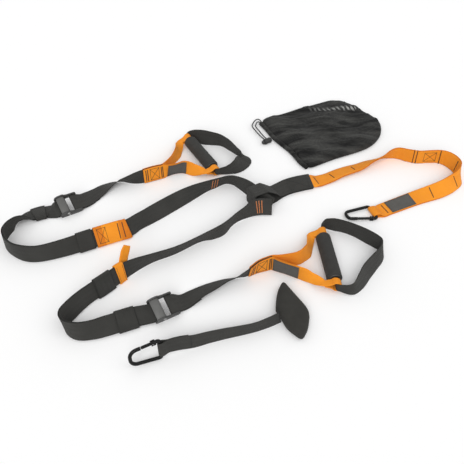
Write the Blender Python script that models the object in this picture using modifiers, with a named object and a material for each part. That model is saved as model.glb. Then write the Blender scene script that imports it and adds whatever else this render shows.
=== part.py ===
"""Suspension trainer laid out on a floor: straps, cam buckles, handles, anchor loop, door anchor and bag.

Metres, +Z up. The layout is written in its own floor frame and carried by one root empty,
whose place puts the origin at the middle of the underside of the whole set.
"""
import math

import bmesh
import bpy
import numpy as np
from mathutils import Matrix, Vector

MM = 0.001
ORIGIN = Vector((30.65, 84.85, 0.0)) * MM

# Webbing
STRAP_WIDTH = 0.038
STRAP_THICK = 0.0016
GAP = 0.0003
PITCH = STRAP_THICK + GAP
ROW_STEP = 0.013
DOOR_STRAP_WIDTH = 0.030
KEEPER_THICK = 0.0012
KEEPER_PLAY = 0.0010
BAND_ROUND = 0.22
TAB_THICK = 0.0014
DOUBLE_LIFT = 0.0023
LOOSE_PLY = 0.65
YOKE_LAYER = 1.36
PATCH_THICK = 0.0008
PATCH_CLEAR = 0.0013
FLAP_WIDTH = 0.020
FLAP_THICK = 0.0028
SLEEVE_LIFT = 0.0022
SLEEVE_TOP = 0.0408
ANCHOR_NECK = 0.031

# Cam buckle, about its lever pin: x towards the handle, y across, z out of the strap
BUCKLE_CLEAR = 0.0394
PLATE_THICK = 0.0032
GRIP_BAR = (0.0030, -0.0092, 0.0022)
REAR_BAR = (0.0205, -0.0065, 0.0023)
PIN_RADIUS = 0.0020
LEVER_WIDTH = 0.0386
HUB_RADIUS = 0.0044
TOOTH_RADIUS = 0.0047
LEVER_REACH = 0.0135
LEVER_THICK = 0.0026
WRAP_STEPS = 6

# Grips
TUBE_RADIUS = 0.0112
TUBE_WALL = 0.0018
TUBE_BORE = TUBE_RADIUS - TUBE_WALL
TUBE_LENGTH = 0.126
TUBE_LIP = 0.0020
FOAM_WALL = 0.0040
FOAM_RADIUS = TUBE_RADIUS + GAP + FOAM_WALL
FOAM_LENGTH = TUBE_LENGTH - 2 * TUBE_LIP
FOAM_SOFT = 0.0012
GRIP_AXIS_HEIGHT = FOAM_RADIUS + 0.0005
BAND_NECK = 2 * TUBE_BORE - 0.0028
LOOP_RADIUS = BAND_NECK / 2 + 0.0020
LOOP_WIDTH = 0.0165
LOOP_CLEAR = 0.0032

# Carabiners
ROD_RADIUS = 0.0034
ROD_BEND = 0.0046
GATE_RADIUS = 0.0029
GATE_PIN_RADIUS = 0.0009
GATE_TAIL = 0.0022
CHEEK_LENGTH = 0.0095
CHEEK_HEIGHT = 2 * GATE_RADIUS + 0.0040

# Bag and pad
BAG_THICK = 0.024
PAD_THICK = 0.025
RIM_SHARE = 0.38
HEM_RADIUS = 0.0055
CORD_RADIUS = 0.0014
CORD_HEIGHT = 0.0075
LOCK_RADIUS = 0.0072
LOCK_BUTTON = 0.0045
LOCK_LENGTH = 0.020
BUTTON_LENGTH = 0.013

BLACK = ((0.048, 0.046, 0.043, 1.0), 0.85, 0.0)
ORANGE = ((0.85, 0.30, 0.030, 1.0), 0.80, 0.0)
GREY = ((0.10, 0.10, 0.098, 1.0), 0.80, 0.0)
PLASTIC = ((0.055, 0.055, 0.053, 1.0), 0.45, 0.0)
LEVER_GREY = ((0.17, 0.168, 0.163, 1.0), 0.45, 0.0)
FOAM = ((0.028, 0.028, 0.028, 1.0), 0.95, 0.0)
STEEL = ((0.50, 0.50, 0.50, 1.0), 0.30, 1.0)
GLOSS = ((0.012, 0.012, 0.012, 1.0), 0.25, 0.0)
MESH_BLACK = ((0.035, 0.035, 0.035, 1.0), 0.90, 0.0)

# Strap routes on the floor: x and y in millimetres, roll of the width in degrees from the left of travel
LEG_ROUTES = {
    "near": [(88, 60, 116), (55, 59, 116), (28, 39, 86), (5, 18, 78), (-17, -12, 86), (-41, -29, 78),
             (-66, -41, 66), (-114, -76, 68), (-164, -102, 74), (-211, -136, 101), (-229, -155, 107),
             (-249, -177, 110), (-269, -197, 108), (-288, -220, 114), (-304, -246, 118), (-310, -264, 105),
             (-302, -281, 92), (-279, -291, 74), (-252, -287, 64), (-231, -277, 50), (-208, -265, 38),
             (-175, -249, 30)],
    "far": [(88, 63.3, 113), (62, 92, 110), (40, 122, 104), (14, 148, 84), (-10, 160, 66), (-33, 148, 72),
            (-59, 133, 80), (-112, 94, 114), (-158, 54, 126), (-198, 13, 112), (-218, -8, 123),
            (-248, -21, 128), (-296, -44, 130), (-341, -70, 114), (-387, -89, 102), (-418, -90, 100),
            (-446, -79, 90), (-467, -59, 90), (-477, -36, 90), (-474, -14, 94), (-465, 4, 104),
            (-457, 20, 136), (-450, 34, 166), (-440, 46, 175), (-422, 56, 176), (-405, 62, 179)],
}
HANDLE_ROUTES = {
    "near": [(-88, -201, -2), (-64, -186, -16), (-40, -171, -24), (-13, -158, -38), (8, -152, -48),
             (28, -144, -66, 1), (52, -126, -80, 1), (79, -114, -88, 0.5)],
    "far": [(-330, 99, 20), (-315, 122, 4), (-297, 142, -10), (-277, 155, -28), (-259, 160, -42),
            (-241, 160, -62), (-213, 168, -88, 1), (-189, 180, -94, 1), (-162, 192, -92, 0.5)],
}
ANCHOR_ROUTE = [(205, 175, 2), (230, 187, -6),
                (256, 203, -10), (283, 216, -12), (306, 225, -18), (330, 239, -32), (361, 252, -45),
                (378, 261, -62), (402, 266, -76), (424, 257, -84), (450, 249, -86), (478, 251, -86),
                (505, 250, -90), (526, 233, -104), (536, 203, -98), (530, 172, -64), (506, 148, -48),
                (479, 131, -38), (452, 121, -24), (424, 111, -14), (396, 98, -10), (342, 71, -5),
                (330, 64.5, -4)]
SLEEVE_ROUTE = [(46, 88, 0), (66, 99.5, 0), (86, 112, 4), (104, 128, 14), (124, 141, 22),
                (150, 152, 26), (184, 164, 22)]
DOOR_ROUTE = [(-112, -326, 82, 8.6), (-94, -318, 80, 6), (-68, -309, 80, 1), (-41, -300, 84),
              (-14, -292, 88), (14, -285, 92), (42, -277, 94), (68, -265, 90), (90, -252.5, 88)]
FOOT_ROUTES = {
    "near": [(197, 5, 96), (216, 2, 96), (239, -5, 96), (261, -18, 94), (283, -36, 88), (302, -54, 90),
             (310, -68, 98), (304, -88, 106), (285, -113, 112), (267, -137, 116), (251, -164, 110),
             (232, -185, 100)],
    "far": [(-100, 348, 86), (-77, 336, 76), (-52, 329, 84), (-28, 321, 96), (-6, 299, 98), (14, 274, 110),
            (31, 261, 140), (29, 247, 146), (18, 225, 125), (4, 207, 92), (-12, 199, 84)],
}
BUCKLE_PLACES = {
    "near": dict(middle=(-134.5, -236.0), heading=30.0, lean=25.0, height=0.0213),
    "far": dict(middle=(-369.0, 66.0), heading=31.0, lean=25.0, height=0.0213),
}
GRIP_PLACES = {
    "near": dict(centre=(196.0, -96.0), heading=95.0),
    "far": dict(centre=(-76.0, 267.0), heading=118.4),
}
ARM_ROUTES = {
    "near_front": [(109, -130, 98), (139, -144, 104), (156, -153, 106)],
    "near_rear": [(105, -105, 100), (133, -101, 88), (152, -83, 88), (161, -64, 96)],
    "far_front": [(-136, 202, 106), (-113, 208, 102), (-92, 204, 104)],
    "far_rear": [(-156, 213, 100), (-146, 232, 98), (-136, 259, 86), (-132, 283, 92)],
}
ARM_ENTRY = {"near_front": -4.0, "near_rear": 17.0, "far_front": 22.0, "far_rear": 40.0}
BAG_OUTLINE = [(83.6, 425), (91, 443), (125, 455), (185, 487), (240, 521), (285, 529), (321, 512), (347, 478),
               (378, 445), (388, 405), (379, 355), (336, 306), (250, 261), (201, 231), (187, 231.5),
               (173, 253), (153.6, 297), (119.6, 350), (95.6, 404)]
BAG_MIDDLE = (240, 380)
HEM_ROUTE = [(76, 420), (88, 396), (111, 346), (146, 292), (166, 247), (180, 226)]
CORD_ROUTES = {
    "outer": [(77.7, 421.4), (75.2, 429.5), (70, 437), (62.5, 433.5), (56.5, 421), (52.6, 403.7), (60.9, 382),
              (69.5, 363.5), (76.7, 350.5), (83.3, 340.3)],
    "inner": [(73.8, 419.5), (71, 424.2), (66.5, 423), (63, 413.5), (61.8, 401.8), (68.7, 384.8), (76, 367.5),
              (82, 354.5), (88.6, 343.8)],
}
PAD_OUTLINE = [(82, -230), (83, -215), (86, -195), (90, -177), (99, -158), (107, -171), (124, -200),
               (139, -228), (142, -245), (135, -275), (124, -296), (114, -290), (101, -273), (92, -253)]
PAD_MIDDLE = (111, -232)

# Floor places, in millimetres, between which the bands, patches and sewn ends lie
TAB_PLACES = {"near": ((-213, -138), (-225, -152)), "far": ((-221, -8), (-286, -39))}
KEEPER_PLACES = {
    "near": dict(upper=((-234, -160), (-261, -189)), lower=((-211, -267), (-178, -250))),
    "far": dict(upper=((-290, -41), (-319, -57)), lower=((-438, 48), (-408, 61))),
}
PATCH_PLACES = {"near": ((82, -115), (132, -141)), "far": ((-152, 195), (-108, 209))}
SEWN_START = {"near": (34, -140), "far": (-206, 171)}
ARM_START = 92.0
HANDLE_FOLD = 3
DOOR_FOLD = 4
ANCHOR_PATCH = ((408, 103), (349, 74))
ANCHOR_START = (133, 145)
ANCHOR_HEADING = 199.0
LOCK_PLACE = (90.0, 336.0)
LOCK_HEADING = 34.0


def clear_scene():
    for thing in list(bpy.data.objects):
        bpy.data.objects.remove(thing, do_unlink=True)


def make_collection(name):
    group = bpy.data.collections.new(name)
    bpy.context.scene.collection.children.link(group)
    return group


def make_material(name, look):
    colour, roughness, metallic = look
    material = bpy.data.materials.new(name)
    material.use_nodes = True
    shader = material.node_tree.nodes["Principled BSDF"]
    shader.inputs["Base Color"].default_value = colour
    shader.inputs["Roughness"].default_value = roughness
    shader.inputs["Metallic"].default_value = metallic
    return material


def add_object(name, data, look, parent=None):
    thing = bpy.data.objects.new(name, data)
    PARTS.objects.link(thing)
    data.materials.append(make_material(name, look))
    thing.parent = parent or ROOT
    return thing


def add_empty(name, frame):
    empty = bpy.data.objects.new(name, None)
    empty.empty_display_size = 0.01
    PARTS.objects.link(empty)
    empty.parent = ROOT
    empty.matrix_local = frame
    return empty


def follow(route, step=ROW_STEP):
    """Evenly spaced rows along a smooth curve through the route's points."""
    points = np.array(route, float)
    fine = []
    for i in range(len(points) - 1):
        before, here = points[max(i - 1, 0)], points[i]
        there, after = points[i + 1], points[min(i + 2, len(points) - 1)]
        for t in np.arange(0.0, 1.0, 0.1):
            fine.append(0.5 * (2 * here + (there - before) * t
                               + (2 * before - 5 * here + 4 * there - after) * t ** 2
                               + (3 * here - before - 3 * there + after) * t ** 3))
    fine.append(points[-1])
    fine = np.array(fine)
    run = np.r_[0.0, np.cumsum(np.linalg.norm(np.diff(fine[:, :2], axis=0), axis=1))] * MM
    places = np.linspace(0.0, run[-1], max(2, round(run[-1] / step)) + 1)
    return np.array([np.interp(places, run, fine[:, k]) for k in range(fine.shape[1])]).T


def stations(route, width=STRAP_WIDTH, plies=1, lift=0.0, step=ROW_STEP):
    """Rows of (middle, across, outward, width) for a strap whose lower edge runs along the floor."""
    full = [tuple(p) + (0.0, width / MM)[len(p) - 3:] for p in route]
    rows = follow(full, step)
    out = []
    for i, (x, y, roll, rise, wide) in enumerate(rows):
        rise = max(rise, 0.0)
        ahead = rows[min(i + 1, len(rows) - 1)][:2] - rows[max(i - 1, 0)][:2]
        travel = Vector((ahead[0], ahead[1], 0.0)).normalized()
        left = Vector((-travel.y, travel.x, 0.0))
        angle = math.radians(roll)
        across = left * math.cos(angle) + Vector((0.0, 0.0, math.sin(angle)))
        height = GAP + wide * MM / 2 * abs(math.sin(angle)) + plies * PITCH / 2 * abs(math.cos(angle))
        middle = Vector((x * MM, y * MM, height + rise * MM + lift))
        out.append((middle, across, travel.cross(across).normalized(), wide * MM))
    return out


def ply(rows, layer):
    """The same rows moved outward by a number of plies."""
    return [(m + n * layer * PITCH, a, n, w) for m, a, n, w in rows]


def run_of(rows):
    """Distance along the strap at each row."""
    out = [0.0]
    for a, b in zip(rows, rows[1:]):
        out.append(out[-1] + (b[0] - a[0]).length)
    return out


def between(a, b, t):
    middle, across, out = (p.lerp(q, t) for p, q in zip(a[:3], b[:3]))
    return middle, across.normalized(), out.normalized(), a[3] + (b[3] - a[3]) * t


def cut(rows, start, end):
    """The stretch of a strap between two floor places in millimetres, its own rows kept."""
    run = run_of(rows)
    marks = []
    for place in (start, end):
        aim = Vector((place[0], place[1])) * MM
        best = min(range(len(rows)), key=lambda i: (rows[i][0].xy - aim).length)
        low = max(best - 1, 0)
        high = min(best + 1, len(rows) - 1)
        line = rows[high][0].xy - rows[low][0].xy
        t = min(max((aim - rows[low][0].xy).dot(line) / line.length_squared, 0.0), 1.0)
        marks.append(run[low] + t * (run[high] - run[low]))
    out = []
    for mark in marks:
        i = min(max(sum(r <= mark for r in run) - 1, 0), len(rows) - 2)
        out.append(between(rows[i], rows[i + 1], (mark - run[i]) / (run[i + 1] - run[i])))
    inner = [row for row, r in zip(rows, run) if marks[0] + GAP < r < marks[1] - GAP]
    return [out[0]] + inner + [out[1]]


def blend(low, high, t):
    t = min(max(t, 0.0), 1.0)
    return low + (high - low) * t * t * (3 - 2 * t)


def grid_mesh(name, rows, columns, place, close_rows=False, close_columns=False):
    """A grid whose vertices are moved to place(row, column), with its ends merged where it closes."""
    mesh = bpy.data.meshes.new(name)
    bm = bmesh.new()
    bmesh.ops.create_grid(bm, x_segments=rows - 1, y_segments=columns - 1, size=1.0)
    for vert in bm.verts:
        i = round((vert.co.x + 1) / 2 * (rows - 1))
        j = round((vert.co.y + 1) / 2 * (columns - 1))
        vert.co = place(i % (rows - 1) if close_rows else i, j % (columns - 1) if close_columns else j)
    if close_rows or close_columns:
        bmesh.ops.remove_doubles(bm, verts=bm.verts, dist=0.00001)
    bm.to_mesh(mesh)
    bm.free()
    return mesh


def ribbon(name, rows, look, thick=STRAP_THICK, closed=False):
    """A flat strap: an open sheet along the rows, thickened to both sides."""
    if closed:
        rows = rows + [rows[0]]

    def place(i, j):
        middle, across, _, width = rows[i]
        return middle + across * width * (j - 0.5)

    strap = add_object(name, grid_mesh(name, len(rows), 2, place, close_rows=closed), look)
    thicken(strap, thick)
    return strap


def thicken(thing, thick):
    """Thickness to both sides, each twisted quad split along its shorter diagonal so that plies nest."""
    solid = thing.modifiers.new("Thickness", "SOLIDIFY")
    solid.thickness = thick
    solid.offset = 0.0
    split_faces(thing)


def split_faces(thing):
    split = thing.modifiers.new("Triangles", "TRIANGULATE")
    split.quad_method = "SHORTEST_DIAGONAL"


def wrap_band(name, rows, look, thick, play, plies=2, arc=3):
    """A band sewn round a pile of plies, with rounded edges."""
    half_high = plies * PITCH / 2 - GAP / 2 + play + thick / 2

    def place(i, j):
        middle, across, out, width = rows[i]
        side = 1 if j < arc + 1 else -1
        angle = math.pi * ((j % (arc + 1)) / arc - 0.5)
        reach = width / 2 + play + thick / 2 - half_high * BAND_ROUND
        y = side * (reach + half_high * BAND_ROUND * math.cos(angle))
        z = side * half_high * math.sin(angle)
        return middle + across * y + out * z

    band = add_object(name, grid_mesh(name, len(rows), 2 * (arc + 1) + 1, place, close_columns=True), look)
    thicken(band, thick)
    return band


def curve_object(name, points, radius, look, parent=None, resolution=2, cyclic=False):
    """A round rod along straight stretches between the points."""
    curve = bpy.data.curves.new(name, "CURVE")
    curve.dimensions = "3D"
    curve.bevel_depth = radius
    curve.bevel_resolution = resolution
    curve.use_fill_caps = True
    spline = curve.splines.new("POLY")
    spline.points.add(len(points) - 1)
    for knot, point in zip(spline.points, points):
        knot.co = (*point, 1.0)
    spline.use_cyclic_u = cyclic
    return add_object(name, curve, look, parent)


def rod_mesh(name, points, radius, look, parent=None, resolution=2, cyclic=False):
    """A rod made into a mesh with its caps welded, ready for a Boolean."""
    rod = curve_object(name, points, radius, look, parent, resolution, cyclic)
    bpy.context.view_layer.update()
    source = rod.evaluated_get(bpy.context.evaluated_depsgraph_get())
    mesh = bpy.data.meshes.new_from_object(source)
    bm = bmesh.new()
    bm.from_mesh(mesh)
    bmesh.ops.remove_doubles(bm, verts=bm.verts, dist=0.00001)
    bmesh.ops.recalc_face_normals(bm, faces=bm.faces)
    bm.to_mesh(mesh)
    bm.free()
    frame = rod.matrix_local.copy()
    curve = rod.data
    bpy.data.objects.remove(rod)
    bpy.data.curves.remove(curve)
    mesh.materials.clear()
    solid = add_object(name, mesh, look, parent)
    solid.matrix_local = frame
    return solid


def plate(name, outline, thick, look, parent, frame):
    """A flat outline with thickness, in the frame's x and y."""
    curve = bpy.data.curves.new(name, "CURVE")
    curve.dimensions = "2D"
    curve.fill_mode = "BOTH"
    curve.extrude = thick / 2
    spline = curve.splines.new("POLY")
    spline.points.add(len(outline) - 1)
    for knot, point in zip(spline.points, outline):
        knot.co = (*point, 0.0, 1.0)
    spline.use_cyclic_u = True
    holder = bpy.data.objects.new(name + "_outline", curve)
    PARTS.objects.link(holder)
    bpy.context.view_layer.update()
    mesh = bpy.data.meshes.new_from_object(holder.evaluated_get(bpy.context.evaluated_depsgraph_get()))
    bpy.data.objects.remove(holder)
    bpy.data.curves.remove(curve)
    bm = bmesh.new()
    bm.from_mesh(mesh)
    bmesh.ops.remove_doubles(bm, verts=bm.verts, dist=0.00001)
    bmesh.ops.recalc_face_normals(bm, faces=bm.faces)
    bm.to_mesh(mesh)
    bm.free()
    mesh.materials.clear()
    solid = add_object(name, mesh, look, parent)
    solid.matrix_local = frame
    return solid


def cylinder(name, radius, length, look, parent, frame, sides=20):
    """A cylinder along the frame's z."""
    mesh = bpy.data.meshes.new(name)
    bm = bmesh.new()
    bmesh.ops.create_cone(bm, cap_ends=True, segments=sides, radius1=radius, radius2=radius, depth=length)
    bm.to_mesh(mesh)
    bm.free()
    solid = add_object(name, mesh, look, parent)
    solid.matrix_local = frame
    return solid


def box(name, size, look, parent, frame):
    mesh = bpy.data.meshes.new(name)
    bm = bmesh.new()
    bmesh.ops.create_cube(bm, size=1.0)
    bmesh.ops.scale(bm, vec=size, verts=bm.verts)
    bm.to_mesh(mesh)
    bm.free()
    solid = add_object(name, mesh, look, parent)
    solid.matrix_local = frame
    return solid


def turned(name, profile, look, parent, frame, steps=24):
    """A profile of (radius, height) turned about the frame's z; it closes itself unless it starts on the axis."""
    mesh = bpy.data.meshes.new(name)
    bm = bmesh.new()
    verts = [bm.verts.new((r, 0.0, z)) for r, z in profile]
    pairs = list(zip(verts, verts[1:]))
    if profile[0][0] > 0.0:
        pairs.append((verts[-1], verts[0]))
    for a, b in pairs:
        bm.edges.new((a, b))
    bm.to_mesh(mesh)
    bm.free()
    solid = add_object(name, mesh, look, parent)
    screw = solid.modifiers.new("Turn", "SCREW")
    screw.steps = steps
    screw.render_steps = steps
    screw.use_merge_vertices = True
    screw.merge_threshold = 0.00001
    solid.matrix_local = frame
    return solid


def cutter(thing):
    PARTS.objects.unlink(thing)
    CUTTERS.objects.link(thing)
    thing.hide_render = True
    thing.display_type = "WIRE"
    return thing


def boolean(thing, other, operation):
    cut = thing.modifiers.new(operation.title(), "BOOLEAN")
    cut.operation = operation
    cut.object = cutter(other)
    return cut


def frame_of(place, x_axis, y_axis):
    """A matrix with its origin at place and the two given unit axes."""
    z_axis = x_axis.cross(y_axis)
    frame = Matrix((x_axis, y_axis, z_axis)).transposed().to_4x4()
    frame.translation = place
    return frame


def heading_vector(degrees):
    return Vector((math.cos(math.radians(degrees)), math.sin(math.radians(degrees)), 0.0))


def buckle_frame(side):
    place = BUCKLE_PLACES[side]
    x_axis = heading_vector(place["heading"])
    left = Vector((-x_axis.y, x_axis.x, 0.0))
    lean = math.radians(place["lean"])
    y_axis = left * math.cos(lean) + Vector((0.0, 0.0, math.sin(lean)))
    middle = Vector((place["middle"][0] * MM, place["middle"][1] * MM, place["height"]))
    return frame_of(middle, x_axis, y_axis)


def local_rows(frame, path, width=STRAP_WIDTH, flip=1):
    """Rows across the frame's y, through points of its x-z plane."""
    across = frame.col[1].xyz * flip
    return [(frame @ Vector((x, 0.0, z)), across, frame.col[2].xyz * flip, width) for x, z in path]


def arc_path(centre, radius, start, end, steps=WRAP_STEPS):
    angles = [math.radians(start + (end - start) * k / steps) for k in range(steps + 1)]
    return [(centre[0] + radius * math.cos(a), centre[1] + radius * math.sin(a)) for a in angles]


def leg_strap(side):
    """Main ply from the Y to the buckle, round its grip bar and back to the adjuster tab."""
    flip = 1 if side == "near" else -1
    rows = stations(LEG_ROUTES[side], plies=2)
    joined = len(rows) - len(cut(rows, TAB_PLACES[side][0], LEG_ROUTES[side][-1])) + 1
    main = []
    for i, (m, a, n, w) in enumerate(rows):
        away = blend(0.0, 1.0, (i - joined + 4) / 4)
        rise = Vector((0.0, 0.0, blend(0.0, DOUBLE_LIFT, (i - joined + 5) / 4)))
        under = Vector((0.0, 0.0, blend(SLEEVE_LIFT, 0.0, (m - rows[0][0]).length / 0.06 - 1.1)))
        rows[i] = (m + rise + under, a, n, w)
        main.append((m + rise + under - n * flip * away * LOOSE_PLY * PITCH, a, n, w))
    tail = ply(rows[joined:], flip * LOOSE_PLY)
    bar_x, bar_z, bar_radius = GRIP_BAR
    bend = bar_radius + GAP + STRAP_THICK / 2
    frame = buckle_frame(side)
    low = [(-0.016, bar_z - bend), (-0.006, bar_z - bend)]
    wrap = arc_path((bar_x, bar_z), bend, -90, 90)
    high = [(-0.005, bar_z + bend), (-0.0125, bar_z + bend - 0.0012), (-0.020, bar_z + bend - 0.0032)]
    turn = local_rows(frame, low + wrap + high, flip=flip)
    ribbon(side + "_leg_strap", main + turn + tail[::-1], BLACK)
    return rows


def bands(side, rows):
    """Sewn adjuster tab and two sliding keepers round the doubled strap."""
    wrap_band(side + "_adjuster_tab", cut(rows, *TAB_PLACES[side]), ORANGE, TAB_THICK, KEEPER_PLAY)
    for label, places in KEEPER_PLACES[side].items():
        wrap_band(f"{side}_{label}_keeper", cut(rows, *places), BLACK, KEEPER_THICK, KEEPER_PLAY)


def tab_flap(rows):
    """Loose tail of the near adjuster tab, folded double and standing up behind the strap."""
    middle, across, out, width = cut(rows, *TAB_PLACES["near"])[0]
    forward = across.cross(out).normalized()
    clear = PITCH + KEEPER_PLAY + TAB_THICK + 3 * GAP + FLAP_THICK / 2
    path = [(0.004, 0.004, FLAP_WIDTH), (0.019, 0.006, FLAP_WIDTH), (0.030, 0.010, FLAP_WIDTH),
            (0.042, 0.015, FLAP_WIDTH), (0.050, 0.019, FLAP_WIDTH * 0.7)]
    flap = [(middle + out * clear + across * h - forward * side_way, forward, out, wide)
            for h, side_way, wide in path]
    ribbon("near_tab_flap", flap, ORANGE, thick=FLAP_THICK)


def buckle(side):
    frame = buckle_frame(side)
    holder = add_empty(side + "_buckle_axis", frame)
    side_up = Matrix.Rotation(math.radians(90), 4, "X")
    half_clear = BUCKLE_CLEAR / 2
    middle_y = half_clear + PLATE_THICK / 2
    nose = arc_path((0.0, 0.0), 0.0070, 25, 115, 5)
    tail = arc_path((0.0275, -0.0055), 0.0060, -60, 70, 5)
    outline = [(-0.0170, -0.0070), (-0.0150, -0.0122), (0.0200, -0.0122)] + tail + [(0.0120, 0.0008)]
    outline += nose + [(-0.0090, 0.0058), (-0.0150, 0.0018)]
    frame_node = plate(side + "_buckle_frame", outline, PLATE_THICK, PLASTIC, holder,
                       Matrix.Translation((0.0, middle_y, 0.0)) @ side_up)
    other = plate(side + "_far_plate", outline, PLATE_THICK, PLASTIC, holder,
                  Matrix.Translation((0.0, -middle_y, 0.0)) @ side_up)
    rear_x, rear_z, rear_radius = REAR_BAR
    rear = cylinder(side + "_rear_bar", rear_radius, BUCKLE_CLEAR + PLATE_THICK, PLASTIC, holder,
                    Matrix.Translation((rear_x, 0.0, rear_z)) @ side_up)
    boolean(frame_node, other, "UNION")
    boolean(frame_node, rear, "UNION")
    bar_x, bar_z, bar_radius = GRIP_BAR
    across = BUCKLE_CLEAR + 4 * PLATE_THICK
    for label, x, z, radius in (("pin", 0.0, 0.0, PIN_RADIUS), ("bar", bar_x, bar_z, bar_radius)):
        hole = cylinder(f"{side}_{label}_hole", radius + GAP, across, PLASTIC, holder,
                        Matrix.Translation((x, 0.0, z)) @ side_up)
        boolean(frame_node, hole, "DIFFERENCE")
    split_faces(frame_node)
    cylinder(side + "_grip_bar", bar_radius, BUCKLE_CLEAR + 2 * PLATE_THICK, STEEL, holder,
             Matrix.Translation((bar_x, 0.0, bar_z)) @ side_up)
    rivet(side + "_cam_pin", PIN_RADIUS, BUCKLE_CLEAR + 2 * PLATE_THICK + 2 * GAP, holder, side_up)
    cam_lever(side, holder, side_up)


def rivet(name, radius, length, holder, frame):
    """A pin with a low head at each end, turned from its half profile."""
    half = length / 2
    head = radius * 1.6
    tall = 0.0007
    profile = [(0.0, half + tall), (head * 0.8, half + tall), (head, half + tall * 0.4), (head, half),
               (radius, half), (radius, -half), (head, -half), (head, -half - tall * 0.4),
               (head * 0.8, -half - tall), (0.0, -half - tall)]
    turned(name, profile, STEEL, holder, frame, steps=16)


def cam_lever(side, holder, side_up):
    """Hub with a toothed nose over the strap and a thumb plate that lies along it."""
    teeth = []
    for k in range(9):
        angle = math.radians(-150 + 15 * k)
        radius = TOOTH_RADIUS if k % 2 else HUB_RADIUS - 0.0003
        teeth.append((radius * math.cos(angle), radius * math.sin(angle)))
    hub = arc_path((0.0, 0.0), HUB_RADIUS, -20, 100, 8)
    thumb = [(-0.0080, 0.0040), (-LEVER_REACH + 0.002, 0.0022), (-LEVER_REACH, 0.0008),
             (-LEVER_REACH, -0.0006), (-LEVER_REACH + 0.0012, -0.0010), (-0.0075, 0.0040 - LEVER_THICK),
             (-0.0048, 0.0004)]
    lever = plate(side + "_cam_lever", teeth + hub + thumb, LEVER_WIDTH, LEVER_GREY, holder, side_up)
    bore = cylinder(side + "_lever_bore", PIN_RADIUS + GAP, 2 * LEVER_WIDTH, LEVER_GREY, holder, side_up)
    boolean(lever, bore, "DIFFERENCE")


def handle_strap(side):
    """Strap folded round the buckle's rear bar, twisting towards the yoke."""
    rows = stations(HANDLE_ROUTES[side], plies=2)
    rear_x, rear_z, rear_radius = REAR_BAR
    bend = rear_radius + GAP + STRAP_THICK / 2
    frame = buckle_frame(side)
    wrap = arc_path((rear_x, rear_z), bend, 270, 90)
    low = local_rows(frame, [(rear_x + 0.008, rear_z - bend - 0.0010)] + wrap
                     + [(rear_x + 0.008, rear_z + bend - 0.0016)])
    back = ply(rows[:HANDLE_FOLD], -LOOSE_PLY)
    main = []
    for i, (m, a, n, w) in enumerate(rows):
        main.append((m + n * blend(LOOSE_PLY, 0.0, (i - HANDLE_FOLD) / 2) * PITCH, a, n, w))
    ribbon(side + "_handle_strap", back[::-1] + low + main, BLACK)
    return rows


def grip_frame(side):
    place = GRIP_PLACES[side]
    axis = heading_vector(place["heading"])
    middle = Vector((place["centre"][0] * MM, place["centre"][1] * MM, GRIP_AXIS_HEIGHT))
    return middle, axis


def grip(side):
    middle, axis = grip_frame(side)
    up = Vector((0.0, 0.0, 1.0))
    holder = add_empty(side + "_grip_axis", frame_of(middle, up, axis.cross(up)))
    half = FOAM_LENGTH / 2
    inner = TUBE_RADIUS + GAP
    neck = FOAM_RADIUS - FOAM_SOFT
    turned(side + "_foam_grip", [(inner, half), (neck, half), (FOAM_RADIUS, half - FOAM_SOFT),
                                 (FOAM_RADIUS, FOAM_SOFT - half), (neck, -half), (inner, -half)],
           FOAM, holder, Matrix.Identity(4), steps=28)
    half = TUBE_LENGTH / 2
    lip = TUBE_RADIUS + GAP + FOAM_WALL / 2
    step = half - TUBE_LIP + GAP
    turned(side + "_grip_tube", [(TUBE_BORE, half), (lip, half), (lip, step), (TUBE_RADIUS, step),
                                 (TUBE_RADIUS, -step), (lip, -step), (lip, -half), (TUBE_BORE, -half)],
           PLASTIC, holder, Matrix.Identity(4), steps=28)


def foot_loop(side):
    """Closed band through the grip, narrow inside it and full width outside."""
    middle, axis = grip_frame(side)
    half = TUBE_LENGTH / 2
    neck = BAND_NECK / MM
    full = STRAP_WIDTH / MM
    low = GRIP_AXIS_HEIGHT / MM - neck / 2

    def on_axis(distance, width):
        spot = (middle + axis * distance) / MM
        return spot.x, spot.y, 90.0, low * (full - width) / (full - neck), width

    inside = [on_axis(d, neck) for d in (-half - 0.020, -0.03, 0.03, half + 0.020)]
    outer = [tuple(p) + (low * 0.45, 27.0) if k in (0, len(FOOT_ROUTES[side]) - 1) else tuple(p) + (0.0, full)
             for k, p in enumerate(FOOT_ROUTES[side])]
    rows = stations(inside + outer + inside[:1], step=0.011)
    ribbon(side + "_foot_loop", rows[:-1], BLACK, closed=True)


def arm_end(side, sign, entry):
    """Rows of the sewn loop at one end of the grip: in over the band, round it and back below."""
    middle, axis = grip_frame(side)
    centre = middle + axis * sign * (TUBE_LENGTH / 2 + LOOP_WIDTH / 2 + LOOP_CLEAR)
    toward = heading_vector(entry)
    flat = PITCH / 2 + 0.0002
    path = [(-0.024, flat), (-0.016, flat + 0.0016)]
    path += arc_path((0.0, 0.0), LOOP_RADIUS, 146, -146, 12)
    path += [(-0.016, -flat - 0.0016), (-0.022, -flat - 0.0004)]
    out = toward.cross(-axis)
    return [(centre + toward * x + Vector((0.0, 0.0, z)), -axis, out, LOOP_WIDTH) for x, z in path]


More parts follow.
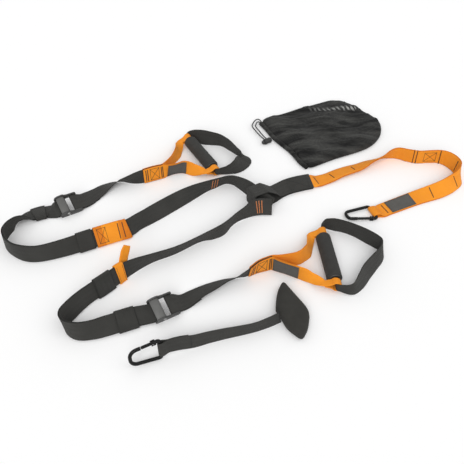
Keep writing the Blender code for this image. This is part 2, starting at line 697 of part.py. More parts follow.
def yoke(side, rows):
    """Two orange arms whose sewn ends clamp the handle strap and which loop round the foot band."""
    sewn = cut(rows, SEWN_START[side], HANDLE_ROUTES[side][-1])
    full = STRAP_WIDTH / MM
    for name, layer, sign in (("front", -YOKE_LAYER, -1), ("rear", YOKE_LAYER, 1)):
        clamp = [(m, -a, -n, w) for m, a, n, w in ply(sewn, layer)]
        last = clamp[-1][0] / MM
        route = [(last.x, last.y, ARM_START)] + ARM_ROUTES[f"{side}_{name}"]
        grow = [full] * (len(route) - 1) + [full * 0.8]
        arm = stations([(x, y, roll, 0.0, wide) for (x, y, roll), wide in zip(route, grow)])[1:]
        end = arm_end(side, sign, ARM_ENTRY[f"{side}_{name}"])
        twist = [between(arm[-1], end[0], k / 4) for k in (1, 2, 3)]
        strap = clamp + arm + twist + end
        ribbon(f"{side}_yoke_{name}", strap, ORANGE)
        if name == "front":
            cover = cut(clamp[-1:] + arm, *PATCH_PLACES[side])
            lift = STRAP_THICK / 2 + PATCH_CLEAR + PATCH_THICK / 2
            ribbon(side + "_yoke_patch", [(m + n * lift, a, n, w * 0.88) for m, a, n, w in cover], GREY,
                   thick=PATCH_THICK)


def sleeve_and_anchor():
    """Flat black sleeve that carries the strap's bend, and the orange anchor loop sewn into it."""
    rows = stations(SLEEVE_ROUTE, plies=4)
    lower = ply(rows, -1.5)
    upper = []
    for i, (m, a, n, w) in enumerate(ply(rows, 1.5)):
        run = i * ROW_STEP
        top = SLEEVE_TOP * min(1.0, 1.0 - (run - 0.030) / 0.052)
        upper.append((Vector((m.x, m.y, max(m.z, top))), a, n, w))
    m, a, n, w = lower[0]
    back = n.cross(a).normalized() * 0.0035
    bend = [(m + back * 0.8 + Vector((0, 0, 0.0012)), a, n, w), (m + back + Vector((0, 0, 0.005)), a, n, w),
            (m + back + Vector((0, 0, SLEEVE_TOP - 0.008)), a, n, w),
            (m + back * 0.8 + Vector((0, 0, SLEEVE_TOP - 0.0022)), a, n, w)]
    ribbon("equalizer_sleeve", lower[::-1] + bend + upper, BLACK)

    run = stations([SLEEVE_ROUTE[-1]] + ANCHOR_ROUTE, plies=2)
    raised = cut(rows, ANCHOR_START, SLEEVE_ROUTE[-1])
    for m, a, n, w in run[1:]:
        rise = blend(PITCH, 0.0, ((m - run[0][0]).length - 0.010) / 0.040)
        raised.append((m + Vector((0, 0, rise)), a, n, w))
    out = ply(raised, 0.5)
    back_ply = ply(raised, -0.5)
    end = raised[-1][0]
    travel = heading_vector(ANCHOR_HEADING)
    rod = Vector((end.x, end.y, 0.0)) + travel * 0.019
    bend_radius = ROD_RADIUS + GAP + STRAP_THICK / 2
    rod.z = bend_radius + STRAP_THICK / 2 + 0.0004
    across = Vector((-travel.y, travel.x, 0.0))
    wrap = [(travel * x + Vector((0, 0, z))) for x, z in arc_path((0, 0), bend_radius, 90, -90)]
    ease = [(travel * -0.009 + Vector((0, 0, bend_radius * 0.86)))]
    under = [(travel * -0.009 + Vector((0, 0, -bend_radius)))]
    turn = [(rod + p, across, Vector((0, 0, 1)), ANCHOR_NECK) for p in ease + wrap + under]
    ribbon("anchor_strap", out + turn + back_ply[::-1], ORANGE)
    cover = cut(raised, *ANCHOR_PATCH)
    lift = PITCH / 2 + STRAP_THICK / 2 + GAP + PATCH_THICK / 2
    ribbon("anchor_patch", [(m + n * lift, a, n, w * 0.9) for m, a, n, w in cover], GREY, thick=PATCH_THICK)
    return rod, travel, across


def rounded(corners, radii, steps=4):
    """A closed outline with each corner turned by an arc."""
    out = []
    count = len(corners)
    for i, radius in enumerate(radii):
        here = Vector(corners[i])
        before = (Vector(corners[i - 1]) - here).normalized()
        after = (Vector(corners[(i + 1) % count]) - here).normalized()
        half = before.angle(after) / 2
        start = here + before * radius / math.tan(half)
        end = here + after * radius / math.tan(half)
        centre = here + (before + after).normalized() * radius / math.sin(half)
        first = math.atan2(start.y - centre.y, start.x - centre.x)
        turn = math.atan2(end.y - centre.y, end.x - centre.x) - first
        turn = (turn + math.pi) % (2 * math.pi) - math.pi
        for k in range(steps + 1):
            angle = first + turn * k / steps
            out.append((centre.x + radius * math.cos(angle), centre.y + radius * math.sin(angle)))
    return out


def carabiner(name, frame, length, base, nose, hinge_at, offset=0.0):
    """Rod body open on one long side, with a sprung gate there. Frame x runs from base to nose."""
    holder = add_empty(name + "_swing", frame)
    half = base / 2
    tip = nose / 2
    corners = [(0.0, half), (0.0, -half), (length, offset - tip), (length, offset + tip)]
    path = rounded(corners, [ROD_BEND, ROD_BEND, tip * 0.9, tip * 0.9])
    slope = Vector((length, offset + tip - half)).normalized()
    start = Vector((0.0, half))
    hinge = start + slope * hinge_at
    mouth = start + slope * (length - tip - 0.006)
    body = [(hinge.x - 0.001, hinge.y + 0.0001)] + path + [(mouth.x, mouth.y)]
    solid = rod_mesh(name + "_body", [(x, y, 0.0) for x, y in body], ROD_RADIUS, GLOSS, holder)
    angle = math.atan2(slope.y, slope.x)
    turn = Matrix.Translation((hinge.x, hinge.y, 0.0)) @ Matrix.Rotation(angle, 4, "Z")
    cheek = box(name + "_cheeks", (CHEEK_LENGTH, 2 * ROD_RADIUS, CHEEK_HEIGHT), GLOSS, holder,
                turn @ Matrix.Translation((-CHEEK_LENGTH / 8, 0.0, 0.0)))
    swept = math.hypot(GATE_TAIL, GATE_RADIUS) + GAP
    slot_length = swept + CHEEK_LENGTH
    slot = box(name + "_slot", (slot_length, 4 * GATE_RADIUS, 2 * GATE_RADIUS + 2 * GAP), GLOSS, holder,
               turn @ Matrix.Translation((slot_length / 2 - swept, 0.0, 0.0)))
    hole = cylinder(name + "_pin_hole", GATE_PIN_RADIUS + GAP, 3 * CHEEK_HEIGHT, GLOSS, holder, turn)
    boolean(solid, cheek, "UNION")
    boolean(solid, slot, "DIFFERENCE")
    boolean(solid, hole, "DIFFERENCE")
    pivot = add_empty(name + "_gate_axis", frame @ turn)
    reach = (mouth - hinge).length - 0.0005
    gate = rod_mesh(name + "_gate", [(-GATE_TAIL, 0.0, 0.0), (reach, 0.0, 0.0)], GATE_RADIUS, GLOSS, pivot)
    bore = cylinder(name + "_gate_bore", GATE_PIN_RADIUS + GAP, 3 * CHEEK_HEIGHT, GLOSS, pivot,
                    Matrix.Identity(4))
    boolean(gate, bore, "DIFFERENCE")
    cylinder(name + "_gate_pin", GATE_PIN_RADIUS, CHEEK_HEIGHT, STEEL, holder, turn, sides=12)


def pillow(name, outline, middle, thick, look, segments, rings, edge=0.55, bow=None):
    """A stuffed form over a drawn outline: flat where it lies, crowned above, with a drawn-in rim."""
    centre = np.array(middle, float)
    arms = np.array(outline, float) - centre
    angles = np.unwrap(np.arctan2(arms[:, 1], arms[:, 0]))
    radii = np.hypot(arms[:, 0], arms[:, 1])
    if angles[-1] < angles[0]:
        angles, radii = angles[::-1], radii[::-1]
    turn = 2 * math.pi
    angles = np.r_[angles - turn, angles, angles + turn]
    radii = np.r_[radii, radii, radii]
    mesh = bpy.data.meshes.new(name)
    bm = bmesh.new()
    bmesh.ops.create_uvsphere(bm, u_segments=segments, v_segments=rings, radius=1.0)
    for vert in bm.verts:
        x, y, z = vert.co
        angle = math.atan2(y, x)
        spread = math.hypot(x, y)
        reach = np.interp(angle, angles, radii) * MM
        fill = spread ** 0.8
        across = centre[0] * MM + math.cos(angle) * reach * fill
        along = centre[1] * MM + math.sin(angle) * reach * fill
        swell = bow(across, along) if bow else 1.0
        rim = thick * RIM_SHARE
        if z > 0.0:
            high = rim + (thick - rim) * z ** edge * swell
        else:
            high = rim * max(0.0, 1.0 - 1.3 * abs(z) ** edge)
        vert.co = (across, along, high)
    bm.to_mesh(mesh)
    bm.free()
    return add_object(name, mesh, look)


def bag():
    """Soft mesh bag with its rolled mouth, drawcord and cord lock."""
    def bow(x, y):
        return 0.72 + 0.28 * math.sin(x * 45) * math.cos(y * 38)

    pillow("bag_body", BAG_OUTLINE, BAG_MIDDLE, BAG_THICK, MESH_BLACK, 48, 14, edge=0.6, bow=bow)
    hem = follow([(x, y, 0.0) for x, y in HEM_ROUTE], step=0.016)
    curve_object("bag_hem", [(x * MM, y * MM, HEM_RADIUS) for x, y, _ in hem], HEM_RADIUS, BLACK)
    for label, route in CORD_ROUTES.items():
        cord = follow([(x, y, 0.0) for x, y in route], step=0.008)
        curve_object("drawcord_" + label, [(x * MM, y * MM, CORD_HEIGHT) for x, y, _ in cord], CORD_RADIUS, BLACK)
    aim = heading_vector(LOCK_HEADING)
    side_way = Vector((-aim.y, aim.x, 0.0))
    place = Vector((LOCK_PLACE[0] * MM, LOCK_PLACE[1] * MM, CORD_HEIGHT))
    frame = frame_of(place, side_way, Vector((0.0, 0.0, 1.0)))
    holder = add_empty("cord_lock_axis", frame)
    half = LOCK_LENGTH / 2
    barrel = [(0.0, half), (LOCK_RADIUS * 0.75, half), (LOCK_RADIUS, half * 0.7), (LOCK_RADIUS * 0.92, 0.0),
              (LOCK_RADIUS, -half * 0.7), (LOCK_RADIUS * 0.9, -half), (0.0, -half)]
    body = turned("cord_lock_body", barrel, PLASTIC, holder, Matrix.Identity(4), steps=20)
    socket = cylinder("lock_socket", LOCK_BUTTON + GAP, 0.014, PLASTIC, holder,
                      Matrix.Translation((0.0, 0.0, -0.0055)))
    boolean(body, socket, "DIFFERENCE")
    cylinder("cord_lock_button", LOCK_BUTTON, BUTTON_LENGTH, LEVER_GREY, holder,
             Matrix.Translation((0.0, 0.0, -0.0090)))


def door_anchor():
    """Narrow strap from the stuffed pad, folded round its carabiner."""
    rows = stations(DOOR_ROUTE, width=DOOR_STRAP_WIDTH, plies=2, step=0.012)
    first, across, out, wide = rows[0]
    travel = rows[1][0] - rows[0][0]
    travel.z = 0.0
    travel.normalize()
    bend = ROD_RADIUS + GAP + STRAP_THICK / 2
    rod = first - travel * 0.014
    wrap = [travel * x + out * z for x, z in arc_path((0, 0), bend, 90, 270)]
    turn = [(rod + p, across, out, wide) for p in wrap]
    back = ply(rows[:DOOR_FOLD], -0.5)
    main = [(m + n * blend(0.5, 0.0, (i - DOOR_FOLD) / 2) * PITCH, a, n, w)
            for i, (m, a, n, w) in enumerate(rows)]
    ribbon("door_strap", main[::-1] + turn + back, BLACK)
    pillow("door_pad", PAD_OUTLINE, PAD_MIDDLE, PAD_THICK, FOAM, 40, 12, edge=0.62)
    return rod, travel, across


def build():
    for side in ("near", "far"):
        rows = leg_strap(side)
        bands(side, rows)
        if side == "near":
            tab_flap(rows)
        buckle(side)
        handle = handle_strap(side)
        yoke(side, handle)
        grip(side)
        foot_loop(side)
    rod, travel, across = sleeve_and_anchor()
    carabiner("anchor_carabiner", frame_of(rod, travel, across), 0.060, 0.0425, 0.022, 0.014, -0.009)
    rod, travel, across = door_anchor()
    carabiner("door_carabiner", frame_of(rod, -travel, across), 0.056, 0.0405, 0.030, 0.013)
    bag()


clear_scene()
PARTS = make_collection("suspension_trainer")
CUTTERS = make_collection("cutters")
ROOT = bpy.data.objects.new("floor_layout", None)
PARTS.objects.link(ROOT)
ROOT.location = -ORIGIN
build()
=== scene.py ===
"""Looks of a strap suspension trainer laid out on a pale floor."""
import math

import bmesh
import bpy
import numpy as np
from mathutils import Matrix, Vector, noise


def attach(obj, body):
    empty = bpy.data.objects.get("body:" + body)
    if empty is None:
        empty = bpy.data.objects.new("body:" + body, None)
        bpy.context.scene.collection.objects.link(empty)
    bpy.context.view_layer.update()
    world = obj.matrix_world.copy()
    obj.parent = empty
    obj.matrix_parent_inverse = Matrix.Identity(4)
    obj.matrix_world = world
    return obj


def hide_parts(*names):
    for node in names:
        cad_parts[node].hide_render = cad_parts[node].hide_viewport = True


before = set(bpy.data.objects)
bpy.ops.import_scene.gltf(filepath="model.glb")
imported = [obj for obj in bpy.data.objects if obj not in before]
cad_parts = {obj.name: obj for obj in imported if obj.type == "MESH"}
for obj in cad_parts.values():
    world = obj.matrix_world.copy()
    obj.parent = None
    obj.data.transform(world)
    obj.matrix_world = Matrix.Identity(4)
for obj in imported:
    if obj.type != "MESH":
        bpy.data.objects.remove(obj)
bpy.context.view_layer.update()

# Camera
# The set is seen from the door anchor's side, looking down at it from about a metre away.
# Places below are written in the layout's own floor frame and shifted to the middle of the set.
MM = 0.001
ORIGIN = Vector((30.65, 84.85, 0.0)) * MM
CAMERA_PLACE = Vector((0.0, -1.040, 0.936))
CAMERA_TILT = 48.0
CAMERA_LENS = 50.4


def at(x, y, z=0.0):
    """A place given in millimetres on the layout, in metres round the middle of the set."""
    return Vector((x, y, z)) * MM - ORIGIN


camera_data = bpy.data.cameras.new("camera")
camera_data.lens = CAMERA_LENS
camera_data.sensor_width = 36.0
camera = bpy.data.objects.new("camera", camera_data)
camera.location = CAMERA_PLACE - ORIGIN
camera.rotation_euler = (math.radians(CAMERA_TILT), 0.0, 0.0)
bpy.context.scene.collection.objects.link(camera)
bpy.context.scene.camera = camera

# Drawcord
# Two strands of thin round braid leave the end of the bag's rolled mouth and meet in the cord lock.
# Each is one smooth tube along its route, with the braid's criss-cross in the surface.
CORD_RADIUS = 0.0014
CORD_HEIGHT = 7.5
BRAID_PITCH = 0.0022
BRAID_STRANDS = 6
UP = Vector((0.0, 0.0, 1.0))
CORD_ROUTES = {
    "outer": [(77.7, 421.4), (75.2, 429.5), (70, 437), (62.5, 433.5), (56.5, 421), (52.6, 403.7), (60.9, 382),
              (69.5, 363.5), (76.7, 350.5), (83.3, 340.3)],
    "inner": [(73.8, 419.5), (71, 424.2), (66.5, 423), (63, 413.5), (61.8, 401.8), (68.7, 384.8), (76, 367.5),
              (82, 354.5), (88.6, 343.8)],
}


def feed(tree, value, socket):
    """Links a wire to the socket, or sets a plain number or colour on it."""
    if isinstance(value, Wire):
        tree.links.new(value.socket, socket)
    else:
        socket.default_value = (*value, 1.0) if socket.type == "RGBA" else value


def new_node(tree, kind, levels=None, **settings):
    """A node with its inputs fed by name or number, and its settings by name."""
    made = tree.nodes.new(kind)
    for key, value in settings.items():
        setattr(made, key, value)
    for key, value in (levels or {}).items():
        feed(tree, value, made.inputs[key])
    return made


class Wire:
    """A value in a node tree; its sums, products and other operations are Math nodes."""

    def __init__(self, tree, socket):
        self.tree, self.socket = tree, socket

    def math(self, operation, *others):
        terms = dict(enumerate((self, *others)))
        return Wire(self.tree, new_node(self.tree, "ShaderNodeMath", terms, operation=operation).outputs[0])

    def __add__(self, other):
        return self.math("ADD", other)

    def __sub__(self, other):
        return self.math("SUBTRACT", other)

    def __mul__(self, other):
        return self.math("MULTIPLY", other)


class Finish:
    """A Principled material and the nodes of its pattern."""

    def __init__(self, name, colour, roughness, sheen=0.0, specular=0.5, metallic=0.0, coat=0.0):
        self.material = bpy.data.materials.new(name)
        self.material.use_nodes = True
        self.tree = self.material.node_tree
        self.shader = self.tree.nodes["Principled BSDF"].inputs
        for key, value in (("Base Color", colour), ("Roughness", roughness), ("Sheen Weight", sheen),
                           ("Specular IOR Level", specular), ("Metallic", metallic), ("Coat Weight", coat)):
            feed(self.tree, value, self.shader[key])

    def source(self, kind, output=0):
        return Wire(self.tree, new_node(self.tree, "ShaderNode" + kind).outputs[output])

    def place(self):
        return self.source("TexCoord", "Object")

    def axes(self, where):
        """The first two parts of a coordinate."""
        apart = new_node(self.tree, "ShaderNodeSeparateXYZ", {0: where})
        return [Wire(self.tree, socket) for socket in apart.outputs[:2]]

    def texture(self, kind, where, output, **levels):
        """A texture or mapping node at a place, its levels set by name."""
        made = new_node(self.tree, "ShaderNode" + kind, dict(levels, Vector=where))
        return Wire(self.tree, made.outputs[output])

    def noise(self, scale, detail=3.0, where=None):
        return self.texture("TexNoise", where or self.place(), "Fac", Scale=scale, Detail=detail)

    def bump(self, height, strength, distance):
        levels = dict(Strength=strength, Distance=distance, Height=height)
        made = new_node(self.tree, "ShaderNodeBump", levels)
        self.tree.links.new(made.outputs[0], self.shader["Normal"])

    def mix(self, factor, low, high):
        made = new_node(self.tree, "ShaderNodeMix", dict(Factor=factor, A=low, B=high), data_type="RGBA")
        return Wire(self.tree, made.outputs["Result"])

    def shade(self, factor, low, high):
        """Base colour between two colours by a factor."""
        feed(self.tree, self.mix(factor, low, high), self.shader["Base Color"])


def braid_material():
    """Braided cord: two crossing sets of fine diagonal ribs."""
    look = Finish("braided_cord", (0.007, 0.007, 0.007), 0.8, sheen=0.02)
    along, around = look.axes(look.source("UVMap"))
    along, around = along * (2 * math.pi / BRAID_PITCH), around * (2 * math.pi * BRAID_STRANDS)
    look.bump((along + around).math("SINE").math("MAXIMUM", (along - around).math("SINE")), 0.6, 0.0003)
    return look.material


def link(name, mesh, material, body, node=None):
    """A finished piece at the origin that moves with a body and takes a CAD node's place."""
    thing = bpy.data.objects.new(name, mesh)
    bpy.context.scene.collection.objects.link(thing)
    mesh.materials.clear()
    mesh.materials.append(material)
    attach(thing, body)
    if node:
        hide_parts(node)
    return thing


def skin(name, rings, uv=None, looped=False, flat=()):
    """A mesh over rings of points, capped at both ends or looped back to its first ring."""
    mesh = bpy.data.meshes.new(name)
    bm = bmesh.new()
    layer = bm.loops.layers.uv.new("UVMap") if uv else None
    made = [[bm.verts.new(point) for point in ring] for ring in rings]
    count = len(rings[0])
    for i in range(len(rings) - (not looped)):
        here, there = made[i], made[(i + 1) % len(rings)]
        for k in range(count):
            m = (k + 1) % count
            face = bm.faces.new((here[k], here[m], there[m], there[k]))
            face.smooth = k not in flat
            if uv and face.smooth:
                for loop, spot in zip(face.loops, ((i, k), (i, k + 1), (i + 1, k + 1), (i + 1, k))):
                    loop[layer].uv = uv(*spot)
    if not looped:
        bm.faces.new(made[0][::-1])
        bm.faces.new(made[-1])
    bmesh.ops.recalc_face_normals(bm, faces=bm.faces)
    bm.to_mesh(mesh)
    bm.free()
    return mesh


def smooth_line(route, step):
    """Evenly spaced points along a smooth curve through the route's points."""
    points = np.array(route, float)
    fine = []
    for i in range(len(points) - 1):
        before, here = points[max(i - 1, 0)], points[i]
        there, after = points[i + 1], points[min(i + 2, len(points) - 1)]
        for t in np.arange(0.0, 1.0, 0.1):
            fine.append(0.5 * (2 * here + (there - before) * t
                               + (2 * before - 5 * here + 4 * there - after) * t ** 2
                               + (3 * here - before - 3 * there + after) * t ** 3))
    fine.append(points[-1])
    fine = np.array(fine)
    run = np.r_[0.0, np.cumsum(np.linalg.norm(np.diff(fine[:, :2], axis=0), axis=1))] * MM
    places = np.linspace(0.0, run[-1], max(2, round(run[-1] / step)) + 1)
    return np.array([np.interp(places, run, fine[:, k]) for k in range(fine.shape[1])]).T


def circle(middle, x_axis, y_axis, radius, sides):
    turns = [2 * math.pi * k / sides for k in range(sides)]
    return [middle + (x_axis * math.cos(t) + y_axis * math.sin(t)) * radius for t in turns]


def tube(name, points, radius, sides=12):
    """A round tube along the points, with its length and turn as UVs, and its length."""
    rings, run = [], [0.0]
    for a, b in zip(points, points[1:]):
        run.append(run[-1] + (b - a).length)
    for i, point in enumerate(points):
        travel = (points[min(i + 1, len(points) - 1)] - points[max(i - 1, 0)]).normalized()
        side = travel.cross(UP).normalized()
        rings.append(circle(point, side, side.cross(travel), radius, sides))
    return skin(name, rings, lambda row, turn: (run[row], turn / sides)), run[-1]


cord_braid = braid_material()
for strand, route in CORD_ROUTES.items():
    line = [at(x, y, CORD_HEIGHT) for x, y in smooth_line(route, 0.002)]
    cord_mesh, cord_length = tube("braid_" + strand, line, CORD_RADIUS)
    cord = link("braid_" + strand, cord_mesh, cord_braid, "webbing_set", "drawcord_" + strand)

# Leg straps
# Flat woven polyester 38 mm wide: each runs from the sleeve to its buckle, round the grip bar and back.
# The tail lies on the main run as far as the adjuster tab, which clamps it.
SIDES = ("near", "far")
STRAP_WIDTH = 0.038
STRAP_THICK = 0.0016
GAP = 0.0003
PITCH = STRAP_THICK + GAP
ROW_STEP = 0.013
DOUBLE_LIFT = 0.0023
LOOSE_PLY = 0.65
RIB = 0.0011
RIB_TURN = 0.0048
RIB_SLOPE = 0.9
SELVAGE = 0.0011
SLEEVE_LIFT = 0.0022
SLEEVE_TOP = 0.0408
FLOOR_CLEAR = 0.0002
GRIP_BAR = (0.0030, -0.0092, 0.0022)
TAB_PLACES = {"near": ((-213, -138), (-225, -152)), "far": ((-221, -8), (-286, -39))}
LEG_ROUTES = {
    "near": [(88, 60, 116), (55, 59, 116), (28, 39, 86), (5, 18, 78), (-17, -12, 86), (-41, -29, 78),
             (-66, -41, 66), (-114, -76, 68), (-164, -102, 74), (-211, -136, 101), (-229, -155, 107),
             (-249, -177, 110), (-269, -197, 108), (-288, -220, 114), (-304, -246, 118), (-310, -264, 105),
             (-302, -281, 92), (-279, -291, 74), (-252, -287, 64), (-231, -277, 50), (-208, -265, 38),
             (-175, -249, 30)],
    "far": [(88, 63.3, 113), (62, 92, 110), (40, 122, 104), (14, 148, 84), (-10, 160, 66), (-33, 148, 72),
            (-59, 133, 80), (-112, 94, 114), (-158, 54, 126), (-198, 13, 112), (-218, -8, 123),
            (-248, -21, 128), (-296, -44, 130), (-341, -70, 114), (-387, -89, 102), (-418, -90, 100),
            (-446, -79, 90), (-467, -59, 90), (-477, -36, 90), (-474, -14, 94), (-465, 4, 104),
            (-457, 20, 136), (-450, 34, 166), (-440, 46, 175), (-422, 56, 176), (-405, 62, 179)],
}
BUCKLE_PLACES = {
    "near": dict(middle=(-134.5, -236.0), heading=30.0, lean=25.0, height=21.3),
    "far": dict(middle=(-369.0, 66.0), heading=31.0, lean=25.0, height=21.3),
}


def heading_vector(degrees):
    return Vector((math.cos(math.radians(degrees)), math.sin(math.radians(degrees)), 0.0))


def frame_of(place, x_axis, y_axis):
    """A matrix with its origin at place and the two given unit axes."""
    frame_matrix = Matrix((x_axis, y_axis, x_axis.cross(y_axis))).transposed().to_4x4()
    frame_matrix.translation = place
    return frame_matrix


def buckle_frame(side):
    """The lever pin's frame: x towards the handle, y across the strap, z out of it."""
    place = BUCKLE_PLACES[side]
    x_axis = heading_vector(place["heading"])
    lean = math.radians(place["lean"])
    y_axis = UP.cross(x_axis) * math.cos(lean) + UP * math.sin(lean)
    return frame_of(at(*place["middle"], place["height"]), x_axis, y_axis)


def stations(route, width=STRAP_WIDTH, plies=1, step=ROW_STEP):
    """Rows of (middle, across, outward, width) for a strap whose lower edge runs along the floor."""
    full = [tuple(p) + (0.0, width / MM)[len(p) - 3:] for p in route]
    rows = smooth_line(full, step)
    out = []
    for i, (x, y, roll, rise, wide) in enumerate(rows):
        ahead = rows[min(i + 1, len(rows) - 1)][:2] - rows[max(i - 1, 0)][:2]
        travel = Vector((ahead[0], ahead[1], 0.0)).normalized()
        angle = math.radians(roll)
        across = UP.cross(travel) * math.cos(angle) + UP * math.sin(angle)
        height = GAP + wide * MM / 2 * abs(math.sin(angle)) + plies * PITCH / 2 * abs(math.cos(angle))
        middle = at(x, y) + UP * (height + max(rise, 0.0) * MM)
        out.append((middle, across, travel.cross(across).normalized(), wide * MM))
    return out


def ply(rows, layer):
    """The same rows moved outward by a number of plies."""
    return [(m + n * layer * PITCH, a, n, w) for m, a, n, w in rows]


def run_of(rows):
    """Distance along the strap at each row."""
    out = [0.0]
    for a, b in zip(rows, rows[1:]):
        out.append(out[-1] + (b[0] - a[0]).length)
    return out


def between(a, b, t):
    middle, across, out = (p.lerp(q, t) for p, q in zip(a[:3], b[:3]))
    return middle, across.normalized(), out.normalized(), a[3] + (b[3] - a[3]) * t


def run_at(rows, place):
    """How far along the rows a floor place in millimetres lies."""
    run = run_of(rows)
    aim = at(*place[:2]).xy
    best = min(range(len(rows)), key=lambda i: (rows[i][0].xy - aim).length)
    low, high = max(best - 1, 0), min(best + 1, len(rows) - 1)
    line = rows[high][0].xy - rows[low][0].xy
    t = min(max((aim - rows[low][0].xy).dot(line) / line.length_squared, 0.0), 1.0)
    return run[low] + t * (run[high] - run[low])


def row_at(rows, mark):
    """The row at a distance along the strap."""
    run = run_of(rows)
    i = min(max(sum(r <= mark for r in run) - 1, 0), len(rows) - 2)
    return between(rows[i], rows[i + 1], (mark - run[i]) / (run[i + 1] - run[i]))


def cut(rows, start, end):
    """The stretch of a strap between two floor places in millimetres, its own rows kept."""
    marks = [run_at(rows, place) for place in (start, end)]
    inner = [row for row, r in zip(rows, run_of(rows)) if marks[0] + GAP < r < marks[1] - GAP]
    return [row_at(rows, marks[0])] + inner + [row_at(rows, marks[1])]


def blend(low, high, t):
    t = min(max(t, 0.0), 1.0)
    return low + (high - low) * t * t * (3 - 2 * t)


def local_rows(frame_matrix, path, flip=1):
    """Rows across the frame's y, through points of its x-z plane."""
    across = frame_matrix.col[1].xyz * flip
    out = frame_matrix.col[2].xyz * flip
    return [(frame_matrix @ Vector((x, 0.0, z)), across, out, STRAP_WIDTH) for x, z in path]


def arc_path(centre, radius, start, end, steps=6):
    angles = [math.radians(start + (end - start) * k / steps) for k in range(steps + 1)]
    return [(centre[0] + radius * math.cos(a), centre[1] + radius * math.sin(a)) for a in angles]


def refined(rows, step=0.0035, closed=False):
    """The same strap with closer rows on a smooth curve; its height and roll never overshoot."""
    known = np.array([[*m, *a, w] for m, a, _, w in rows])
    if closed:
        known = np.vstack([known[-1:], known, known[:2]])
    length = np.maximum(np.linalg.norm(np.diff(known[:, :3], axis=0), axis=1), 1e-6)[:, None]
    slope = np.diff(known, axis=0) / length
    inner = (slope[:-1] * length[1:] + slope[1:] * length[:-1]) / (length[1:] + length[:-1])
    before, after = slope[:-1, 2:6], slope[1:, 2:6]
    steady = before * after > 1e-9
    inner[:, 2:6] = np.where(steady, 2 * before * after / np.where(steady, before + after, 1.0), 0.0)
    tangent = np.vstack([slope[:1], inner, slope[-1:]])
    first, last = (1, len(known) - 2) if closed else (0, len(known) - 1)
    out = []
    for i in range(first, last):
        count = max(1, math.ceil(length[i, 0] / step))
        for t in np.arange(count) / count:
            out.append((2 * t ** 3 - 3 * t ** 2 + 1) * known[i]
                       + (t ** 3 - 2 * t ** 2 + t) * length[i] * tangent[i]
                       + (3 * t ** 2 - 2 * t ** 3) * known[i + 1]
                       + (t ** 3 - t ** 2) * length[i] * tangent[i + 1])
    if not closed:
        out.append(known[-1])
    made = []
    for i, row in enumerate(out):
        ahead = out[(i + 1) % len(out)] if closed else out[min(i + 1, len(out) - 1)]
        back = out[i - 1] if closed or i else out[0]
        travel = Vector(ahead[:3] - back[:3]).normalized()
        across = Vector(row[3:6])
        across = (across - travel * across.dot(travel)).normalized()
        made.append((Vector(row[:3]), across, travel.cross(across), row[6]))
    return made


def band_profile(width, thick):
    """Cross-section of webbing: flat faces with full, slightly thicker woven edges."""
    half = width / 2
    edge = thick / 2
    upper = [(-half + edge * 0.3, 0.72), (-half + edge * 1.2, 1.0), (-half * 0.5, 0.94), (0.0, 0.92),
             (half * 0.5, 0.94), (half - edge * 1.2, 1.0), (half - edge * 0.3, 0.72)]
    top = [(v, h * edge) for v, h in upper]
    return [(-half, 0.0)] + top + [(half, 0.0)] + [(v, -h) for v, h in reversed(top)]


def webbing(name, rows, material, node, thick=STRAP_THICK, closed=False):
    """A woven band along the rows, with distance along and across it as UVs."""
    rows = refined(rows, closed=closed)
    run = run_of(rows + rows[:1] if closed else rows)
    sections = [band_profile(w, thick) for _, _, _, w in rows]
    rings = [[m + a * v + n * h for v, h in section] for (m, a, n, _), section in zip(rows, sections)]
    for ring in rings:
        for spot in ring:
            spot.z = max(spot.z, FLOOR_CLEAR)

    def uv(row, turn):
        section = sections[row % len(rows)]
        return run[row], section[turn % len(section)][0]

    return link(name, skin(name, rings, uv, closed), material, "webbing_set", node)


def webbing_material(name, low, high, edge):
    """Woven polyester: slanting ribs that turn back at the middle and a plain selvage at each edge."""
    look = Finish(name, high, 0.78, sheen=0.04, specular=0.25)
    along, across = look.axes(look.source("UVMap"))
    slant = across.math("PINGPONG", RIB_TURN) * RIB_SLOPE + along
    ribs = (slant * (2 * math.pi / RIB)).math("SINE")
    warp = (across * (2 * math.pi / (RIB * 1.3))).math("SINE")
    weave = ribs + warp * 0.6
    look.bump(weave, 0.5, 0.00025)
    tone = look.noise(26.0, 4.0) * 0.75 + look.noise(700.0, 2.0) * 0.3 + weave * 0.05
    selvage = across.math("ABSOLUTE").math("GREATER_THAN", STRAP_WIDTH / 2 - SELVAGE)
    look.shade(selvage, look.mix(tone, low, high), edge)
    return look.material


black_weave = webbing_material("black_webbing", (0.019, 0.019, 0.017), (0.050, 0.049, 0.045),
                               (0.024, 0.024, 0.022))


